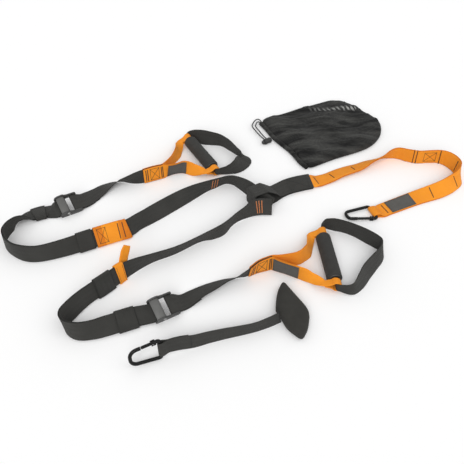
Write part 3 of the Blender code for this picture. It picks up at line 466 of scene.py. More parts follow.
def leg_rows(side):
    """The doubled strap's middle rows, and the rows of its one long ply."""
    flip = 1 if side == "near" else -1
    rows = stations(LEG_ROUTES[side], plies=2)
    joined = len(rows) - len(cut(rows, TAB_PLACES[side][0], LEG_ROUTES[side][-1])) + 1
    main = []
    for i, (m, a, n, w) in enumerate(rows):
        away = blend(0.0, 1.0, (i - joined + 4) / 4)
        rise = blend(0.0, DOUBLE_LIFT, (i - joined + 5) / 4)
        under = blend(SLEEVE_LIFT, 0.0, (m - rows[0][0]).length / 0.06 - 1.1)
        middle = m + UP * (rise + under)
        rows[i] = (middle, a, n, w)
        main.append((middle - n * flip * away * LOOSE_PLY * PITCH, a, n, w))
    tail = ply(rows[joined:], flip * LOOSE_PLY)
    bar_x, bar_z, bar_radius = GRIP_BAR
    bend = bar_radius + GAP + STRAP_THICK / 2
    low = [(-0.016, bar_z - bend), (-0.006, bar_z - bend)]
    wrap = arc_path((bar_x, bar_z), bend, -90, 90)
    high = [(-0.005, bar_z + bend), (-0.0125, bar_z + bend - 0.0012), (-0.020, bar_z + bend - 0.0032)]
    turn = local_rows(buckle_frame(side), low + wrap + high, flip=flip)
    tail = tail[::-1]
    entry = [between(main[-1], turn[0], t) for t in (0.25, 0.5, 0.75)]
    leaving = [between(turn[-1], tail[0], t) for t in (0.25, 0.5, 0.75)]
    return rows, main + entry + turn + leaving + tail


doubled = {}
for side in SIDES:
    doubled[side], strap_rows = leg_rows(side)
    webbing(side + "_leg_webbing", strap_rows, black_weave, side + "_leg_strap")

# Adjuster tabs and keepers
# An orange tab is sewn round each doubled strap; black keepers of the same webbing slide along it.
# Each is a flat tube of webbing round both plies, with its seams shown as rows of thread.
KEEPER_THICK = 0.0012
KEEPER_PLAY = 0.0014
BAND_ROUND = 0.22
TAB_THICK = 0.0014
FLAP_WIDTH = 0.020
FLAP_THICK = 0.0028
SEAM_LIFT = 0.0001
SEAM_SIDE = 0.0165
BAR_WIDTH = 0.0012
SEAM_HALF = dict(tab=0.0155, arm=0.0145, sleeve=0.0160, anchor=0.0125, leg=0.0130, door=0.012)
FLAP_PATH = [(0.004, 0.004, FLAP_WIDTH), (0.016, 0.007, FLAP_WIDTH), (0.026, 0.012, FLAP_WIDTH),
             (0.036, 0.018, FLAP_WIDTH), (0.044, 0.024, FLAP_WIDTH * 0.8)]
BAND_TOP = PITCH - GAP / 2 + KEEPER_PLAY
WRAP_STEPS = 6
KEEPER_PLACES = {
    "near": dict(upper=((-234, -160), (-261, -189)), lower=((-211, -267), (-178, -250))),
    "far": dict(upper=((-290, -41), (-319, -57)), lower=((-438, 48), (-413, 59.5))),
}
orange_weave = webbing_material("orange_webbing", (0.80, 0.235, 0.012), (0.98, 0.370, 0.024),
                                (0.70, 0.20, 0.012))


def wrapped(name, rows, material, body, thick, node):
    """A band of webbing sewn round a doubled strap, its UVs running round it."""
    rows = refined(rows, 0.002)
    run = run_of(rows)
    last = len(rows) - 1
    half_high = BAND_TOP + thick / 2
    bulge = half_high * BAND_ROUND
    order = [(i, 0.5) for i in range(last + 1)] + [(i, -0.5) for i in range(last, -1, -1)]
    rings = []
    for side in (1, -1):
        for k in range(WRAP_STEPS + 1):
            angle = math.pi * (k / WRAP_STEPS - 0.5)
            ring = []
            for i, layer in order:
                m, a, n, w = rows[i]
                lip = thick * layer * (0.72 if i in (0, last) else 1.0)
                reach = w / 2 + KEEPER_PLAY + thick / 2 - bulge
                spot = (m + a * side * (reach + (bulge + lip) * math.cos(angle))
                        + n * side * (half_high + lip) * math.sin(angle))
                spot.z = max(spot.z, FLOOR_CLEAR)
                ring.append(spot)
            rings.append(ring)

    def uv(ring, turn):
        i = order[turn][0]
        return (rings[ring % len(rings)][turn] - rows[i][0]).dot(rows[i][1]), run[i] - run[-1] / 2

    return link(name, skin(name, rings, uv, True, (last, 2 * last + 1)), material, body, node)


def thread_tree():
    """Stitches laid end to end along every line of a curve, each a short round bar."""
    tree = bpy.data.node_groups.new("stitches", "GeometryNodeTree")
    for way, label, kind in (("INPUT", "Geometry", "Geometry"), ("INPUT", "Pitch", "Float"),
                             ("INPUT", "Stitch", "Float"), ("INPUT", "Thread", "Float"),
                             ("INPUT", "Material", "Material"), ("OUTPUT", "Geometry", "Geometry")):
        tree.interface.new_socket(label, in_out=way, socket_type="NodeSocket" + kind)
    start, end = new_node(tree, "NodeGroupInput"), new_node(tree, "NodeGroupOutput")
    spread = new_node(tree, "GeometryNodeCurveToPoints", mode="LENGTH")
    bar = new_node(tree, "GeometryNodeMeshCylinder", {"Vertices": 6})
    place = new_node(tree, "GeometryNodeInstanceOnPoints")
    real = new_node(tree, "GeometryNodeRealizeInstances")
    paint = new_node(tree, "GeometryNodeSetMaterial")
    turn = new_node(tree, "FunctionNodeAlignRotationToVector", axis="Z")
    for a, output, b, socket in (
            (start, "Geometry", spread, "Curve"), (start, "Pitch", spread, "Length"),
            (start, "Stitch", bar, "Depth"), (start, "Thread", bar, "Radius"),
            (spread, "Points", place, "Points"), (spread, "Tangent", turn, "Vector"),
            (turn, "Rotation", place, "Rotation"), (bar, "Mesh", place, "Instance"),
            (place, "Instances", real, "Geometry"), (real, "Geometry", paint, "Geometry"),
            (start, "Material", paint, "Material"), (paint, "Geometry", end, "Geometry")):
        tree.links.new(a.outputs[output], b.inputs[socket])
    return tree


stitch_tree = thread_tree()


def thread_material(name, colour):
    look = Finish(name, colour, 0.7, sheen=0.08)
    look.shade(look.noise(900.0), [c * 0.75 for c in colour], colour)
    return look.material


def sewn(name, lines, material, body="webbing_set", pitch=0.0030, stitch=0.0023, thread=0.0003):
    """Rows of stitches along lines in the set's frame, as one plain mesh."""
    curve = bpy.data.curves.new(name, "CURVE")
    curve.dimensions = "3D"
    for line in lines:
        spline = curve.splines.new("POLY")
        spline.points.add(len(line) - 1)
        for knot, point in zip(spline.points, line):
            knot.co = (*point, 1.0)
    guide = bpy.data.objects.new(name, curve)
    bpy.context.scene.collection.objects.link(guide)
    laid = guide.modifiers.new("Stitches", "NODES")
    laid.node_group = stitch_tree
    inputs = {"Pitch": pitch, "Stitch": stitch, "Thread": thread, "Material": material}
    for item in stitch_tree.interface.items_tree:
        if item.name in inputs:
            laid[item.identifier] = inputs[item.name]
    bpy.context.view_layer.update()
    mesh = bpy.data.meshes.new_from_object(guide.evaluated_get(bpy.context.evaluated_depsgraph_get()))
    bpy.data.objects.remove(guide)
    bpy.data.curves.remove(curve)
    mesh.name = name
    return link(name, mesh, material, body)


def strap_line(rows, start, end, height, steps=8):
    """A line over the strap between two spots of (distance along it, across from its middle)."""
    line = []
    for k in range(steps + 1):
        run, across = (p + (q - p) * k / steps for p, q in zip(start, end))
        m, a, n, _ = row_at(rows, run)
        line.append(m + a * across + n * height)
    return line


def box_seam(rows, start, end, half, height):
    """A sewn rectangle with both diagonals."""
    a, b, c, d = (start, -half), (end, -half), (end, half), (start, half)
    return [strap_line(rows, p, q, height) for p, q in ((a, b), (b, c), (c, d), (d, a), (a, c), (b, d))]


def cross_bar(rows, run, half, height):
    """A bar tack: close rows of thread across the strap."""
    spots = [run + BAR_WIDTH * d for d in (-0.5, 0.0, 0.5)]
    return [strap_line(rows, (spot, -half), (spot, half), height) for spot in spots]


orange_thread = thread_material("orange_thread", (0.72, 0.26, 0.09))
black_thread = thread_material("black_thread", (0.007, 0.007, 0.007))
dark_thread = thread_material("dark_thread", (0.035, 0.014, 0.006))
tabs = {side: cut(doubled[side], *TAB_PLACES[side]) for side in SIDES}
tab_top = BAND_TOP + TAB_THICK + SEAM_LIFT
keeper_top = BAND_TOP + KEEPER_THICK + SEAM_LIFT

for side in SIDES:
    wrapped(side + "_tab_band", tabs[side], orange_weave, "webbing_set", TAB_THICK, side + "_adjuster_tab")
    for label, places in KEEPER_PLACES[side].items():
        rows = cut(doubled[side], *places)
        body = f"{side}_{label}_loop"
        wrapped(f"{side}_{label}_band", rows, black_weave, body, KEEPER_THICK, f"{side}_{label}_keeper")
        length = run_of(rows)[-1]
        seam = [strap_line(rows, (length * 0.06, y), (length * 0.94, y), h) for y in (-SEAM_SIDE, SEAM_SIDE)
                for h in (keeper_top, -keeper_top)]
        sewn(f"{side}_{label}_seam", seam, black_thread, body)

flap_start = tabs["near"][0]
flap_forward = flap_start[1].cross(flap_start[2]).normalized()
flap_clear = PITCH + KEEPER_PLAY + TAB_THICK + 3 * GAP + FLAP_THICK / 2
flap_rows = [(flap_start[0] + flap_start[2] * flap_clear + flap_start[1] * high - flap_forward * aside,
              flap_forward, flap_start[2], wide) for high, aside, wide in FLAP_PATH]
webbing("near_tab_tail", flap_rows, orange_weave, "near_tab_flap", FLAP_THICK)

far_run = run_of(tabs["far"])[-1]
tab_seams = []
for h in (tab_top, -tab_top):
    tab_seams += box_seam(tabs["far"], far_run * 0.66, far_run * 0.91, SEAM_HALF["tab"], h)
    for share in (0.15, 0.29):
        tab_seams += cross_bar(tabs["far"], far_run * share, SEAM_HALF["tab"], h)
sewn("far_tab_seams", tab_seams, dark_thread, pitch=0.0022, stitch=0.0020, thread=0.0004)
near_run = run_of(tabs["near"])[-1]
tab_seams = [strap_line(tabs["near"], (near_run * t, -SEAM_SIDE), (near_run * t, SEAM_SIDE), h)
             for t in (0.14, 0.86) for h in (tab_top, -tab_top)]
sewn("near_tab_seams", tab_seams, dark_thread)

# Cam buckles
# A moulded frame of two side plates and a rear bar; a steel bar carries the strap's turn.
# The grey lever turns on a riveted pin between the plates, its toothed hub pressing on the strap.


def moulded_material(name, low, high, roughness):
    """Moulded plastic: fine spark grain and faint handling marks."""
    look = Finish(name, high, roughness)
    look.bump(look.noise(900.0, 2.0), 0.25, 0.00015)
    look.shade(look.noise(60.0, 5.0), low, high)
    feed(look.tree, look.noise(130.0, 4.0) * 0.22 + (roughness - 0.10), look.shader["Roughness"])
    return look.material


def brushed_material(name, colour, roughness):
    look = Finish(name, colour, roughness, metallic=1.0)
    drawn = look.texture("Mapping", look.place(), 0, Scale=(1.0, 1.0, 14.0))
    look.bump(look.noise(420.0, where=drawn), 0.2, 0.0001)
    return look.material


def softened(node, material, body, width, segments=2):
    """A rigid CAD solid with its edges rounded as moulding or machining leaves them."""
    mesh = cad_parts[node].data.copy()
    bm = bmesh.new()
    bm.from_mesh(mesh)
    bm.transform(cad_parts[node].matrix_world)
    bmesh.ops.remove_doubles(bm, verts=bm.verts, dist=0.00001)
    bmesh.ops.dissolve_limit(bm, angle_limit=math.radians(1.0), verts=bm.verts, edges=bm.edges)
    for face in bm.faces:
        face.smooth = True
    bm.to_mesh(mesh)
    bm.free()
    mesh.name = node + "_moulding"
    thing = link(node + "_moulding", mesh, material, body, node)
    bevel = thing.modifiers.new("Rounding", "BEVEL")
    bevel.width = width
    bevel.segments = segments
    bevel.limit_method = "ANGLE"
    bevel.angle_limit = math.radians(32.0)
    bevel.harden_normals = True


black_moulding = moulded_material("black_moulding", (0.020, 0.020, 0.019), (0.048, 0.048, 0.045), 0.48)
grey_moulding = moulded_material("grey_moulding", (0.070, 0.070, 0.066), (0.118, 0.117, 0.112), 0.5)
zinc = brushed_material("zinc_pin", (0.46, 0.46, 0.45), 0.32)

for side in SIDES:
    softened(side + "_buckle_frame", black_moulding, "webbing_set", 0.0005)
    softened(side + "_cam_lever", grey_moulding, side + "_lever", 0.0003)
    softened(side + "_cam_pin", zinc, "webbing_set", 0.0002)
    softened(side + "_grip_bar", zinc, "webbing_set", 0.0002)

# Handle straps
# Black webbing folded round each buckle's rear bar; its end is sewn between the two orange arms.
REAR_BAR = (0.0205, -0.0065, 0.0023)
HANDLE_FOLD = 3
HANDLE_ROUTES = {
    "near": [(-88, -201, -2), (-64, -186, -16), (-40, -171, -24), (-13, -158, -38), (8, -152, -48),
             (28, -144, -66, 1), (52, -126, -80, 1), (79, -114, -88, 0.5)],
    "far": [(-330, 99, 20), (-315, 122, 4), (-297, 142, -10), (-277, 155, -28), (-259, 160, -42),
            (-241, 160, -62), (-213, 168, -88, 1), (-189, 180, -94, 1), (-162, 192, -92, 0.5)],
}


def handle_rows(side):
    rows = stations(HANDLE_ROUTES[side], plies=2)
    rear_x, rear_z, rear_radius = REAR_BAR
    bend = rear_radius + GAP + STRAP_THICK / 2
    wrap = arc_path((rear_x, rear_z), bend, 270, 90)
    low = local_rows(buckle_frame(side), [(rear_x + 0.008, rear_z - bend - 0.0010)] + wrap
                     + [(rear_x + 0.008, rear_z + bend - 0.0016)])
    main = [(m + n * blend(LOOSE_PLY, 0.0, (i - HANDLE_FOLD) / 2) * PITCH, a, n, w)
            for i, (m, a, n, w) in enumerate(rows)]
    return rows, ply(rows[:HANDLE_FOLD], -LOOSE_PLY)[::-1] + low + main


handle_middle = {}
for side in SIDES:
    handle_middle[side], strap_rows = handle_rows(side)
    webbing(side + "_handle_webbing", strap_rows, black_weave, side + "_handle_strap")

# Grips
# Closed-cell foam sleeves, a little fuller in the middle, on plastic tubes with a lip at each end.
# They turn freely on the black band that runs through them.
GRIP_AXIS_HEIGHT = 16.0
FOAM_RADIUS = 0.0155
FOAM_LENGTH = 0.122
TUBE_RADIUS = 0.0112
TUBE_BORE = 0.0094
TUBE_LENGTH = 0.126
FOAM_ROUND = 0.0022
LIP_HEIGHT = 0.0022
GRIP_PLACES = {
    "near": dict(centre=(196.0, -96.0), heading=95.0),
    "far": dict(centre=(-76.0, 267.0), heading=118.4),
}


def grip_axis(side):
    place = GRIP_PLACES[side]
    return at(*place["centre"], GRIP_AXIS_HEIGHT), heading_vector(place["heading"])


def turned(name, profile, middle, axis, material, body, node):
    """A closed profile of (radius, height) spun about an axis."""
    rays = circle(Vector(), UP, axis.cross(UP), 1.0, 64)
    mesh = skin(name, [[middle + ray * r + axis * z for r, z in profile] for ray in rays], looped=True)
    mesh.set_sharp_from_angle(angle=math.radians(40))
    return link(name, mesh, material, body, node)


def foam_material():
    """Foam rubber: open fine pores and a soft matt skin."""
    look = Finish("grip_foam", (0.040, 0.039, 0.036), 0.92, sheen=0.05, specular=0.25)
    pores = look.texture("TexVoronoi", look.place(), "Distance", Scale=900.0)
    look.bump(pores + look.noise(160.0) * 1.2, 0.5, 0.0004)
    look.shade(look.noise(90.0, 5.0), (0.026, 0.026, 0.024), (0.046, 0.045, 0.042))
    return look.material


grip_foam = foam_material()
half_foam = FOAM_LENGTH / 2
half_tube = TUBE_LENGTH / 2
lip_start = half_tube - (TUBE_LENGTH - FOAM_LENGTH) / 2 + GAP
foam_outer = [(FOAM_RADIUS - FOAM_ROUND * (1 - math.sin(math.radians(a))) + 0.0002 * (a == 0),
               half_foam - FOAM_ROUND * (1 - math.cos(math.radians(a)))) for a in (0, 22, 45, 68, 90)]
foam_profile = [(TUBE_RADIUS + GAP, half_foam)] + foam_outer
foam_profile += [(FOAM_RADIUS, half_foam * (1 - k / 6)) for k in range(1, 12)]
foam_profile += [(r, -z) for r, z in reversed(foam_outer)] + [(TUBE_RADIUS + GAP, -half_foam)]
lip = TUBE_RADIUS + LIP_HEIGHT
tube_end = [(TUBE_BORE, half_tube - 0.0004), (TUBE_BORE + 0.0004, half_tube), (lip - 0.0005, half_tube),
            (lip, half_tube - 0.0005), (lip, lip_start), (TUBE_RADIUS, lip_start)]
tube_profile = tube_end + [(r, -z) for r, z in reversed(tube_end)]
for side in SIDES:
    middle, axis = grip_axis(side)
    foam = turned(side + "_grip_sleeve", foam_profile, middle, axis, grip_foam, side + "_grip",
                  side + "_foam_grip")
    turned(side + "_grip_core", tube_profile, middle, axis, black_moulding, side + "_grip",
           side + "_grip_tube")

# Foot loops
# A closed band of black webbing through each grip, folded narrow inside it and full width outside.
BAND_NECK = 16.0
FOOT_ROUTES = {
    "near": [(197, 5, 96), (216, 2, 96), (239, -5, 96), (261, -18, 94), (283, -36, 88), (302, -54, 90),
             (310, -68, 98), (304, -88, 106), (285, -113, 112), (267, -137, 116), (251, -164, 110),
             (232, -185, 100)],
    "far": [(-100, 348, 86), (-77, 336, 76), (-52, 329, 84), (-28, 321, 96), (-6, 299, 98), (14, 274, 110),
            (31, 261, 140), (29, 247, 146), (18, 225, 125), (4, 207, 92), (-12, 199, 84)],
}


def foot_rows(side):
    x, y = GRIP_PLACES[side]["centre"]
    axis = heading_vector(GRIP_PLACES[side]["heading"])
    half = TUBE_LENGTH / 2 / MM
    full = STRAP_WIDTH / MM
    low = GRIP_AXIS_HEIGHT - BAND_NECK / 2
    inside = [(x + axis.x * d, y + axis.y * d, 90.0, low, BAND_NECK)
              for d in (-half - 20.0, -30.0, 30.0, half + 20.0)]
    last = len(FOOT_ROUTES[side]) - 1
    outer = [tuple(p) + ((low * 0.45, 27.0) if k in (0, last) else (0.0, full))
             for k, p in enumerate(FOOT_ROUTES[side])]
    return stations(inside + outer + inside[:1], step=0.011)[:-1]


for side in SIDES:
    webbing(side + "_foot_band", foot_rows(side), black_weave, side + "_foot_loop",
            closed=True)

# Yokes
# Two orange arms clamp each handle strap between them, sewn with a crossed box and bars.
# Their far ends are sewn into loops round the foot band at either end of the grip.
# A blank grey patch covers one arm.
YOKE_LAYER = 1.36
PATCH_THICK = 0.0008
PATCH_CLEAR = 0.0013
PATCH_YARN = 0.0007
PATCH_SEAM = 0.0020
LOOP_RADIUS = 0.0100
LOOP_WIDTH = 0.0165
LOOP_CLEAR = 0.0032
ARM_START = 92.0
ARM_ROUTES = {
    "near_front": [(109, -130, 98), (139, -144, 86), (156, -153, 62)],
    "near_rear": [(105, -105, 100), (133, -101, 88), (151, -85, 80), (159, -69, 66)],
    "far_front": [(-136, 202, 106), (-113, 208, 92), (-92, 204, 66)],
    "far_rear": [(-156, 213, 100), (-146, 232, 98), (-136, 259, 86), (-132, 283, 66)],
}
ARM_ENDS = {"near_front": ((0.88, 0.60), [1.0, 5.0])}
ARM_ENTRY = {"near_front": -4.0, "near_rear": 17.0, "far_front": 22.0, "far_rear": 40.0}
PATCH_PLACES = {"near": ((82, -115), (132, -141)), "far": ((-152, 195), (-108, 209))}
SEWN_START = {"near": (34, -140), "far": (-206, 171)}


def arm_end(side, sign, entry):
    """Rows of the sewn loop at one end of the grip: in over the band, round it and back below."""
    middle, axis = grip_axis(side)
    centre = middle + axis * sign * (TUBE_LENGTH / 2 + LOOP_WIDTH / 2 + LOOP_CLEAR)
    toward = heading_vector(entry)
    flat = PITCH / 2 + 0.0002
    path = [(-0.024, flat), (-0.016, flat + 0.0016)]
    path += arc_path((0.0, 0.0), LOOP_RADIUS, 146, -146, 12)
    path += [(-0.016, -flat - 0.0016), (-0.022, -flat - 0.0004)]
    out = toward.cross(axis)
    return [(centre + toward * x + UP * z, axis, out, LOOP_WIDTH) for x, z in path]


def patch_material():
    """Plain woven label cloth with nothing on it."""
    look = Finish("patch_cloth", (0.092, 0.088, 0.080), 0.75, sheen=0.04, specular=0.3)
    lengthways, crossways = [(axis * (2 * math.pi / PATCH_YARN)).math("SINE")
                             for axis in look.axes(look.source("UVMap"))]
    look.bump(lengthways * crossways, 0.4, 0.0002)
    look.shade(look.noise(80.0, 4.0), (0.068, 0.065, 0.060), (0.108, 0.104, 0.096))
    return look.material


patch_cloth = patch_material()
grey_thread = thread_material("grey_thread", (0.055, 0.054, 0.052))


def sewn_patch(name, seam, cover, lift, share, node):
    """A blank patch on the outer side of a strap's rows, with its seam near its edge."""
    rows = [(m + n * (lift + PATCH_THICK / 2), a, n, w * share) for m, a, n, w in cover]
    webbing(name, rows, patch_cloth, node, PATCH_THICK)
    run = run_of(rows)[-1]
    half = min(row[3] for row in rows) / 2 - PATCH_SEAM - 0.0002
    top = PATCH_THICK / 2 + SEAM_LIFT
    border = [strap_line(rows, (PATCH_SEAM, y), (run - PATCH_SEAM, y), top, 14) for y in (-half, half)]
    border += [strap_line(rows, (s, -half), (s, half), top) for s in (PATCH_SEAM, run - PATCH_SEAM)]
    sewn(seam, border, grey_thread)


for side in SIDES:
    sewn_part = cut(handle_middle[side], SEWN_START[side], HANDLE_ROUTES[side][-1])
    for label, layer, sign in (("front", -YOKE_LAYER, -1), ("rear", YOKE_LAYER, 1)):
        arm_name = f"{side}_{label}"
        clamp = [(m, -a, -n, w) for m, a, n, w in ply(sewn_part, layer)]
        last = clamp[-1][0] / MM - at(0, 0) / MM
        route = [(last.x, last.y, ARM_START)] + ARM_ROUTES[arm_name]
        full = STRAP_WIDTH / MM
        shares, rises = ARM_ENDS.get(arm_name, ((1.0, 0.8), [0.0, 0.0]))
        grow = [full] * (len(route) - 2) + [full * share for share in shares]
        lifts = [0.0] * (len(route) - 2) + rises
        arm = stations([(*spot, rise, wide) for spot, rise, wide in zip(route, lifts, grow)])[1:]
        end = arm_end(side, sign, ARM_ENTRY[arm_name])
        twist = [between(arm[-1], end[0], k / 4) for k in (1, 2, 3)]
        webbing(arm_name + "_arm", clamp + arm + twist + end, orange_weave, f"{side}_yoke_{label}")
        clamp_run = run_of(clamp)[-1]
        face = -sign * (STRAP_THICK / 2 + SEAM_LIFT)
        seams = box_seam(clamp, clamp_run * 0.34, clamp_run * 0.78, SEAM_HALF["arm"], face)
        for share in (0.12, 0.21, 0.90, 0.97):
            seams += cross_bar(clamp, clamp_run * share, SEAM_HALF["arm"], face)
        sewn(arm_name + "_arm_seams", seams, dark_thread, pitch=0.0019, stitch=0.0018,
             thread=0.0004)
        if label == "front":
            sewn_patch(side + "_arm_patch", side + "_patch_seam", cut(clamp[-1:] + arm, *PATCH_PLACES[side]),
                       STRAP_THICK / 2 + PATCH_CLEAR, 0.88, side + "_yoke_patch")

# Sleeve and anchor strap
# The straps hang from a flat black sleeve; an orange loop of doubled webbing is sewn into its other end.
# The loop is bar-tacked at intervals and folds narrow round its snap hook.
SLEEVE_ROUTE = [(46, 88, 0), (66, 99.5, 0), (86, 112, 4), (104, 128, 14), (124, 141, 22),
                (150, 152, 26), (184, 164, 22)]
ANCHOR_ROUTE = [(205, 175, 2), (230, 187, -6),
                (256, 203, -10), (283, 216, -12), (306, 225, -18), (330, 239, -32), (361, 252, -45),
                (378, 261, -62), (402, 266, -76), (424, 257, -84), (450, 249, -86), (478, 251, -86),
                (505, 250, -90), (526, 233, -104), (536, 203, -98), (530, 172, -64), (506, 148, -48),
                (479, 131, -38), (452, 121, -24), (424, 111, -14), (396, 98, -10), (342, 71, -5),
                (330, 64.5, -4)]
ANCHOR_PATCH = ((408, 103), (349, 74))
ANCHOR_START = (133, 145)
ANCHOR_HEADING = 199.0
ANCHOR_NECK = 0.031
ANCHOR_SHARE = 0.88
ANCHOR_LEVEL = 0.010
ANCHOR_RAMP = 0.040
ANCHOR_BOX = ((464, 250), (493, 250))
SLEEVE_LEVEL = 0.030
SLEEVE_RAMP = 0.052
SLEEVE_BULGE = 0.0035
ROD_AHEAD = dict(anchor=0.019, door=0.014)
ROD_RADIUS = 0.0034
TACK_SPREAD = 1.4
ANCHOR_TACKS = [(197, 170, 0.008), (238, 187, 0.007), (291, 215, 0.006), (439, 249, 0.013), (446, 249, 0.013),
                (503, 250, 0.013), (537, 214, 0.009), (517, 155, 0.009), (455, 120, 0.009), (340, 70, 0.009)]

sleeve_rows = stations(SLEEVE_ROUTE, plies=4)
sleeve_lower = ply(sleeve_rows, -1.5)
sleeve_upper = []
for i, (m, a, n, w) in enumerate(ply(sleeve_rows, 1.5)):
    top = SLEEVE_TOP * min(1.0, 1.0 - (i * ROW_STEP - SLEEVE_LEVEL) / SLEEVE_RAMP)
    sleeve_upper.append((Vector((m.x, m.y, max(m.z, top))), a, n, w))
m, a, n, w = sleeve_lower[0]
back = n.cross(a).normalized() * SLEEVE_BULGE
sleeve_bend = [(m + back * share + UP * high, a, n, w)
               for share, high in ((0.8, 0.0012), (1.0, 0.005), (1.0, SLEEVE_TOP - 0.008),
                                   (0.8, SLEEVE_TOP - 0.0022))]
webbing("sleeve_webbing", sleeve_lower[::-1] + sleeve_bend + sleeve_upper, black_weave, "equalizer_sleeve")
flat_part = sleeve_upper[7:]
flat_run = run_of(flat_part)[-1]
sleeve_seams = box_seam(flat_part, flat_run * 0.12, flat_run * 0.86, SEAM_HALF["sleeve"],
                        STRAP_THICK / 2 + SEAM_LIFT)
sewn("sleeve_seams", sleeve_seams, black_thread, pitch=0.0022, stitch=0.0020, thread=0.0004)

anchor_run = stations([SLEEVE_ROUTE[-1]] + ANCHOR_ROUTE, plies=2)
raised = [(m, a, n, w * ANCHOR_SHARE) for m, a, n, w in cut(sleeve_rows, ANCHOR_START, SLEEVE_ROUTE[-1])]
for m, a, n, w in anchor_run[1:]:
    rise = blend(PITCH, 0.0, ((m - anchor_run[0][0]).length - ANCHOR_LEVEL) / ANCHOR_RAMP)
    raised.append((m + UP * rise, a, n, w))
anchor_travel = heading_vector(ANCHOR_HEADING)
anchor_across = UP.cross(anchor_travel)
anchor_bend = ROD_RADIUS + GAP + STRAP_THICK / 2
anchor_rod = Vector((raised[-1][0].x, raised[-1][0].y, 0.0)) + anchor_travel * ROD_AHEAD["anchor"]
anchor_rod.z = anchor_bend + STRAP_THICK / 2 + 0.0004
turn_path = [(-0.009, anchor_bend * 0.86)] + arc_path((0, 0), anchor_bend, 90, -90) + [(-0.009, -anchor_bend)]
anchor_turn = [(anchor_rod + anchor_travel * x + UP * z, anchor_across, UP, ANCHOR_NECK)
               for x, z in turn_path]
anchor_rows = ply(raised, 0.5) + anchor_turn + ply(raised, -0.5)[::-1]
webbing("anchor_webbing", anchor_rows, orange_weave, "anchor_strap")

outer_face = PITCH / 2 + STRAP_THICK / 2 + SEAM_LIFT
tacks = []
for x, y, half in ANCHOR_TACKS:
    spot = run_at(raised, (x, y))
    for face in (outer_face, -outer_face):
        tacks += cross_bar(raised, spot, half * TACK_SPREAD, face)
box_runs = [run_at(raised, place) for place in ANCHOR_BOX]
for face in (-outer_face, outer_face):
    tacks += box_seam(raised, *box_runs, SEAM_HALF["anchor"], face)
sewn("anchor_tacks", tacks, dark_thread, pitch=0.0012, stitch=0.0015, thread=0.0004)
sewn_patch("anchor_cover_patch", "anchor_patch_seam", cut(raised, *ANCHOR_PATCH),
           PITCH / 2 + STRAP_THICK / 2 + GAP, 0.9, "anchor_patch")

LEG_TACKS = {"near": ((66, 59.5), (60, 59.2), (54, 59.1)), "far": ((-34, 147.5), (-39.5, 144.5), (-45, 141))}
for side, places in LEG_TACKS.items():
    bars = []
    for place in places:
        spot = run_at(doubled[side], place)
        for face in (-1, 1):
            bars += cross_bar(doubled[side], spot, SEAM_HALF["leg"], face * (STRAP_THICK / 2 + SEAM_LIFT))
    sewn(side + "_leg_tacks", bars, orange_thread, pitch=0.0010, stitch=0.0016,
         thread=0.00045)

# Snap hooks
# Black coated steel rod bent to a closed pear, with cheeks that hold the riveted gate.
# The gate's spring is inside it; the nose end is plain.
ROD_BEND = 0.0046
GATE_RADIUS = 0.0029
CHEEK_SIZE = (0.0086, 1.8 * ROD_RADIUS, 0.0015)
HOOKS = {
    "anchor": dict(length=0.060, base=0.0425, nose=0.022, hinge_at=0.014, offset=-0.009),
    "door": dict(length=0.056, base=0.0405, nose=0.030, hinge_at=0.013, offset=0.0),
}
DOOR_STRAP_WIDTH = 0.030
DOOR_FOLD = 4
DOOR_SLANT = 0.25
DOOR_REACH = 0.002
DOOR_SLANT_RUN = 0.025
DOOR_SEAM_BACK = 0.006
DOOR_ROUTE = [(-112, -326, 82, 8.6), (-94, -318, 80, 6), (-68, -309, 80, 1), (-41, -300, 84),
              (-14, -292, 88), (14, -285, 92), (42, -277, 94), (68, -265, 90), (90, -252.5, 88)]


def rounded(corners, radii, steps=10):
    """A closed outline with each corner turned by an arc."""
    out = []
    count = len(corners)
    for i, radius in enumerate(radii):
        here = Vector(corners[i])
        before = (Vector(corners[i - 1]) - here).normalized()
        after = (Vector(corners[(i + 1) % count]) - here).normalized()
        half = before.angle(after) / 2
        start = here + before * radius / math.tan(half)
        end = here + after * radius / math.tan(half)
        centre = here + (before + after).normalized() * radius / math.sin(half)
        first = math.atan2(start.y - centre.y, start.x - centre.x)
        turn = math.atan2(end.y - centre.y, end.x - centre.x) - first
        turn = (turn + math.pi) % (2 * math.pi) - math.pi
        for k in range(steps + 1):
            angle = first + turn * k / steps
            out.append((centre.x + radius * math.cos(angle), centre.y + radius * math.sin(angle)))
    return out


def gloss_material():
    """Black gloss coat: a hard clear skin with faint ripple and rubbed spots."""
    look = Finish("black_gloss_coat", (0.003, 0.003, 0.003), 0.30, specular=0.12, coat=0.12)
    look.shader["Coat Roughness"].default_value = 0.15
    look.bump(look.noise(260.0), 0.12, 0.0002)
    look.shade(look.noise(120.0, 6.0), (0.002, 0.002, 0.002), (0.007, 0.007, 0.007))
    return look.material


